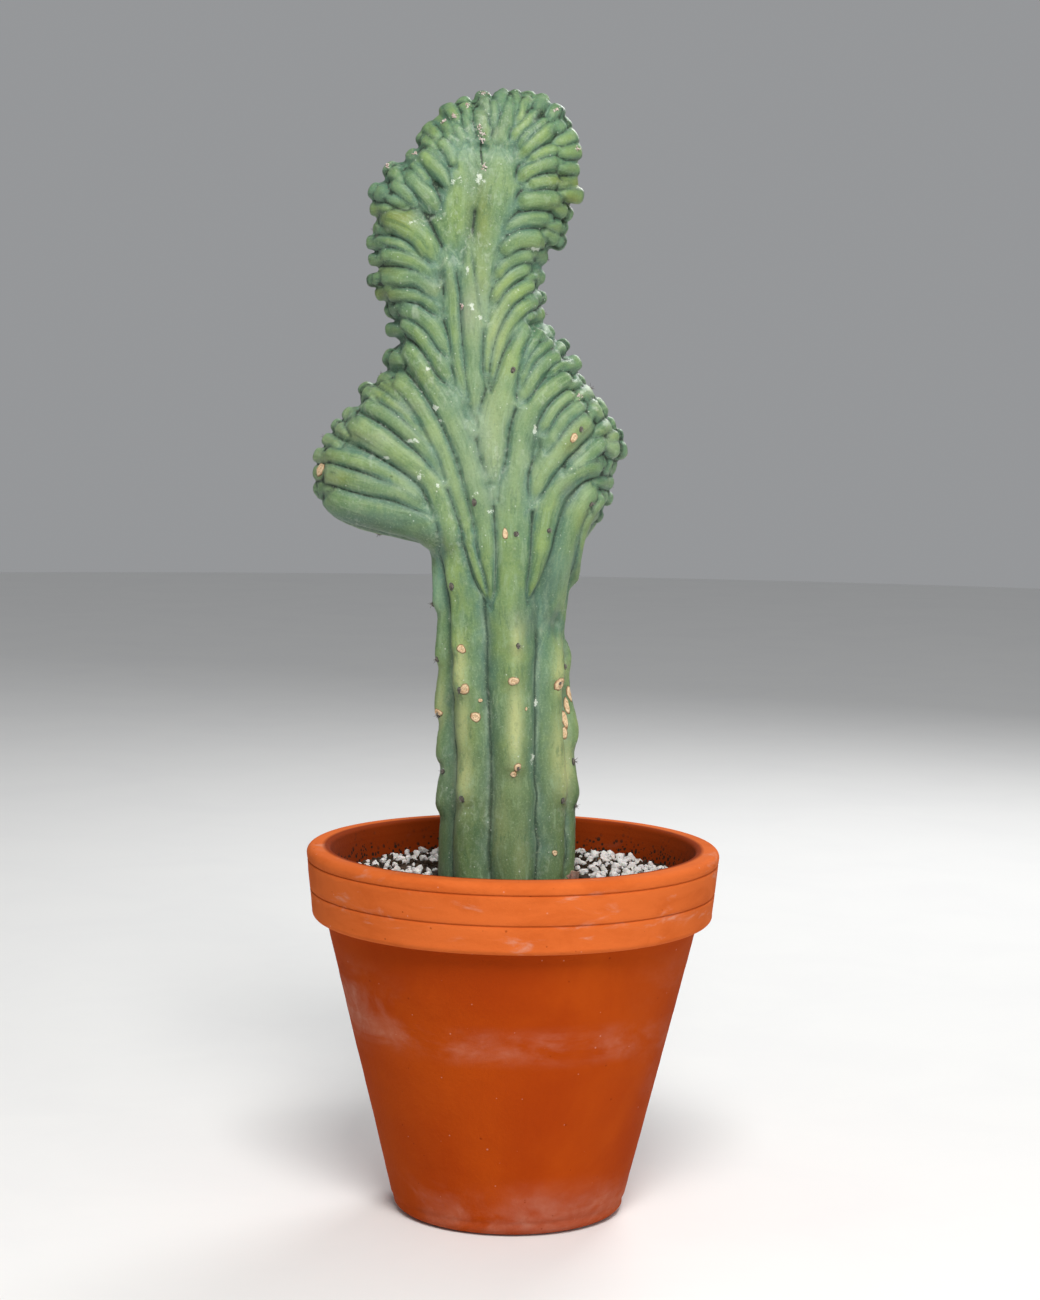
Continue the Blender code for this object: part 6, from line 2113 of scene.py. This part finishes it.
def rootlet(start_x, chance):
    """A path that leaves the stem's front and curls; it stays just above the bed."""
    turn = chance.uniform(-0.5, 0.5) + np.cumsum(chance.normal(0.0, 0.28, ROOT_STEPS))
    heading = -math.pi / 2 + chance.uniform(-1.1, 1.1) + np.cumsum(turn) * 0.12
    foot = -math.sqrt(max((STEM_RADIUS ** 2) - (start_x - STEM_X / MM) ** 2, 1.0))
    x = start_x * MM + np.cumsum(np.cos(heading)) * ROOT_STRIDE
    y = foot * MM + np.cumsum(np.sin(heading)) * ROOT_STRIDE
    arch = np.sin(np.linspace(0.1, math.pi, ROOT_STEPS)) * chance.uniform(0.8, 2.4) * MM
    z = bed_height(x, y) + 0.5 * MM + arch
    path = stacked(x, y, z)
    return tube_along(path, np.linspace(0.42, 0.12, ROOT_STEPS) * MM, ROOT_SIDES)


roots_made = [rootlet(x, chance) for x in np.linspace(-10.0, 27.0, ROOTLETS)]
rootlets = piece_from("dry_rootlets", *joined(roots_made))

settle(rootlets, simple_finish(
    "dry_root", 0.85, (0.420, 0.270, 0.140),
    ((DRIFT, 380.0, 0.40, 0.65), 1.0, (0.200, 0.105, 0.050)),
))


def scrap(middle, lean, size):
    """A thin curled sheet: on a grid, a disc bent round an upright axis and frayed at its rim,
    with a second skin close behind it."""
    radius = np.linspace(0.1, 1.0, SCRAP_RINGS)[:, None]
    angle = round_angles(SCRAP_SIDES)
    fray = 1.0 + 0.14 * np.sin(3 * angle + 1.0) + 0.10 * np.sin(7 * angle)
    u = size * radius * fray * np.cos(angle)
    w = size * 0.8 * radius * fray * np.sin(angle)
    curl = 0.5 * u ** 2 / size + 0.12 * size * np.sin(9 * u / size)
    front = stacked(u, curl, w)
    back = front[::-1] + np.array([0.0, SCRAP_THICK, 0.0])
    rings = np.concatenate([front, back])
    turn = np.array(Matrix.Rotation(lean[0], 3, "Z") @ Matrix.Rotation(lean[1], 3, "X"))
    rings = rings @ turn.T + middle
    return closed_tube(rings[:, ::-1], rings[0].mean(axis=0), rings[-1].mean(axis=0))


SCRAP_PLACE = np.array([31.5, -24.0, 174.5]) * MM
papery = piece_from("papery_scrap", *joined([
    scrap(SCRAP_PLACE, (0.9, 0.25), 5.0 * MM),
    scrap(SCRAP_PLACE + np.array([-4.0, -5.0, -1.5]) * MM, (0.4, 0.7), 3.4 * MM),
]))

settle(papery, simple_finish(
    "papery_skin", 0.7, (0.330, 0.215, 0.165),
    ((DRIFT, 260.0, 0.38, 0.68, 0.4), 1.0, (0.150, 0.085, 0.055)),
    grit=(700.0, 0.6, 0.6, 0.0004), Subsurface_Weight=0.15, Subsurface_Scale=0.002,
))

# %% [markdown]
# ## The eye
#
# The camera stands where the photograph was taken from, as far as the ellipses of the pot's
# rim and foot tell. It looks down a little, through a long lens.

# %% Camera
PITCH, YAW, ROLL = math.radians(6.06), math.radians(0.071), math.radians(0.90)
FOCAL_PIXELS, PICTURE_ROWS, SENSOR = 2997, 1300, 36.0
forward = np.array([
    math.sin(YAW) * math.cos(PITCH), math.cos(YAW) * math.cos(PITCH), -math.sin(PITCH),
])
level_right = unit(np.cross(forward, UP))
level_up = np.cross(level_right, forward)
right = level_right * math.cos(ROLL) + level_up * math.sin(ROLL)
up = np.cross(right, forward)
camera_data = bpy.data.cameras.new("view")
camera_data.sensor_fit = "VERTICAL"
camera_data.sensor_height = SENSOR
camera_data.lens = FOCAL_PIXELS / PICTURE_ROWS * SENSOR
camera = bpy.data.objects.new("view", camera_data)
turn = Matrix((right, up, -forward)).transposed().to_4x4()
camera.matrix_world = Matrix.Translation(EYE) @ turn
bpy.context.scene.collection.objects.link(camera)
bpy.context.scene.camera = camera
print("camera at", np.round(EYE, 3), "with a lens of", round(camera_data.lens, 1), "mm")

# %% [markdown]
# ## The stage
#
# The photograph was lit softly from the front and above. A large area light does that here, with
# a weaker one from the other side so that no shadow is black, and a low rim of light from behind
# that parts the plant from the background. The floor is plain and pale.

# %% Floor and lights
FLOOR_RADIUS, FLOOR_RINGS, FLOOR_SIDES = 4.0, 12, 96
BELOW_POT = np.array([0, 0, -0.1 * MM])
floor_line = np.linspace([0.02, 0.0], [FLOOR_RADIUS, 0.0], FLOOR_RINGS)
floor_disc = turned(floor_line, FLOOR_SIDES) + BELOW_POT
floor_points, floor_faces = closed_tube(floor_disc, BELOW_POT, floor_disc[-1, 0])
floor = piece_from("pale_floor", floor_points[:-1], [floor_faces[0], floor_faces[1][:, ::-1]])
paper, tree, shader = new_finish("pale_paper", 0.9)
fibres = drift(tree, 9.0, 0.3, 0.8)
tone = blend_colours(tree, fibres, (0.80, 0.80, 0.79), (0.78, 0.78, 0.775))
tree.links.new(tone, shader.inputs["Base Color"])
floor.data.materials.append(paper)


def soft_light(name, place, aim, size, power, tint=(1.0, 1.0, 1.0)):
    """A square area light that looks at the aim."""
    lamp = bpy.data.lights.new(name, "AREA")
    lamp.size = size
    lamp.energy = power
    lamp.color = tint
    holder = bpy.data.objects.new(name, lamp)
    holder.location = place
    holder.rotation_euler = (Vector(aim) - Vector(place)).to_track_quat("-Z", "Y").to_euler()
    bpy.context.scene.collection.objects.link(holder)


MIDDLE_OF_PLANT = (0.0, 0.0, 0.32)
soft_light("key", (0.10, -1.30, 1.70), MIDDLE_OF_PLANT, 0.7, 38.0, (1.0, 0.985, 0.96))
soft_light("fill", (1.10, -1.40, 0.45), MIDDLE_OF_PLANT, 1.2, 8.0)
soft_light("rim", (0.55, 1.30, 1.20), MIDDLE_OF_PLANT, 0.7, 14.0)
world = bpy.data.worlds.new("soft_surroundings")
world.use_nodes = True
background = world.node_tree.nodes["Background"]
background.inputs["Color"].default_value = (0.95, 0.97, 1.0, 1.0)
background.inputs["Strength"].default_value = 0.32
bpy.context.scene.world = world
bpy.context.scene.view_settings.view_transform = "Standard"
print("lights:", [lamp.name for lamp in bpy.data.lights])
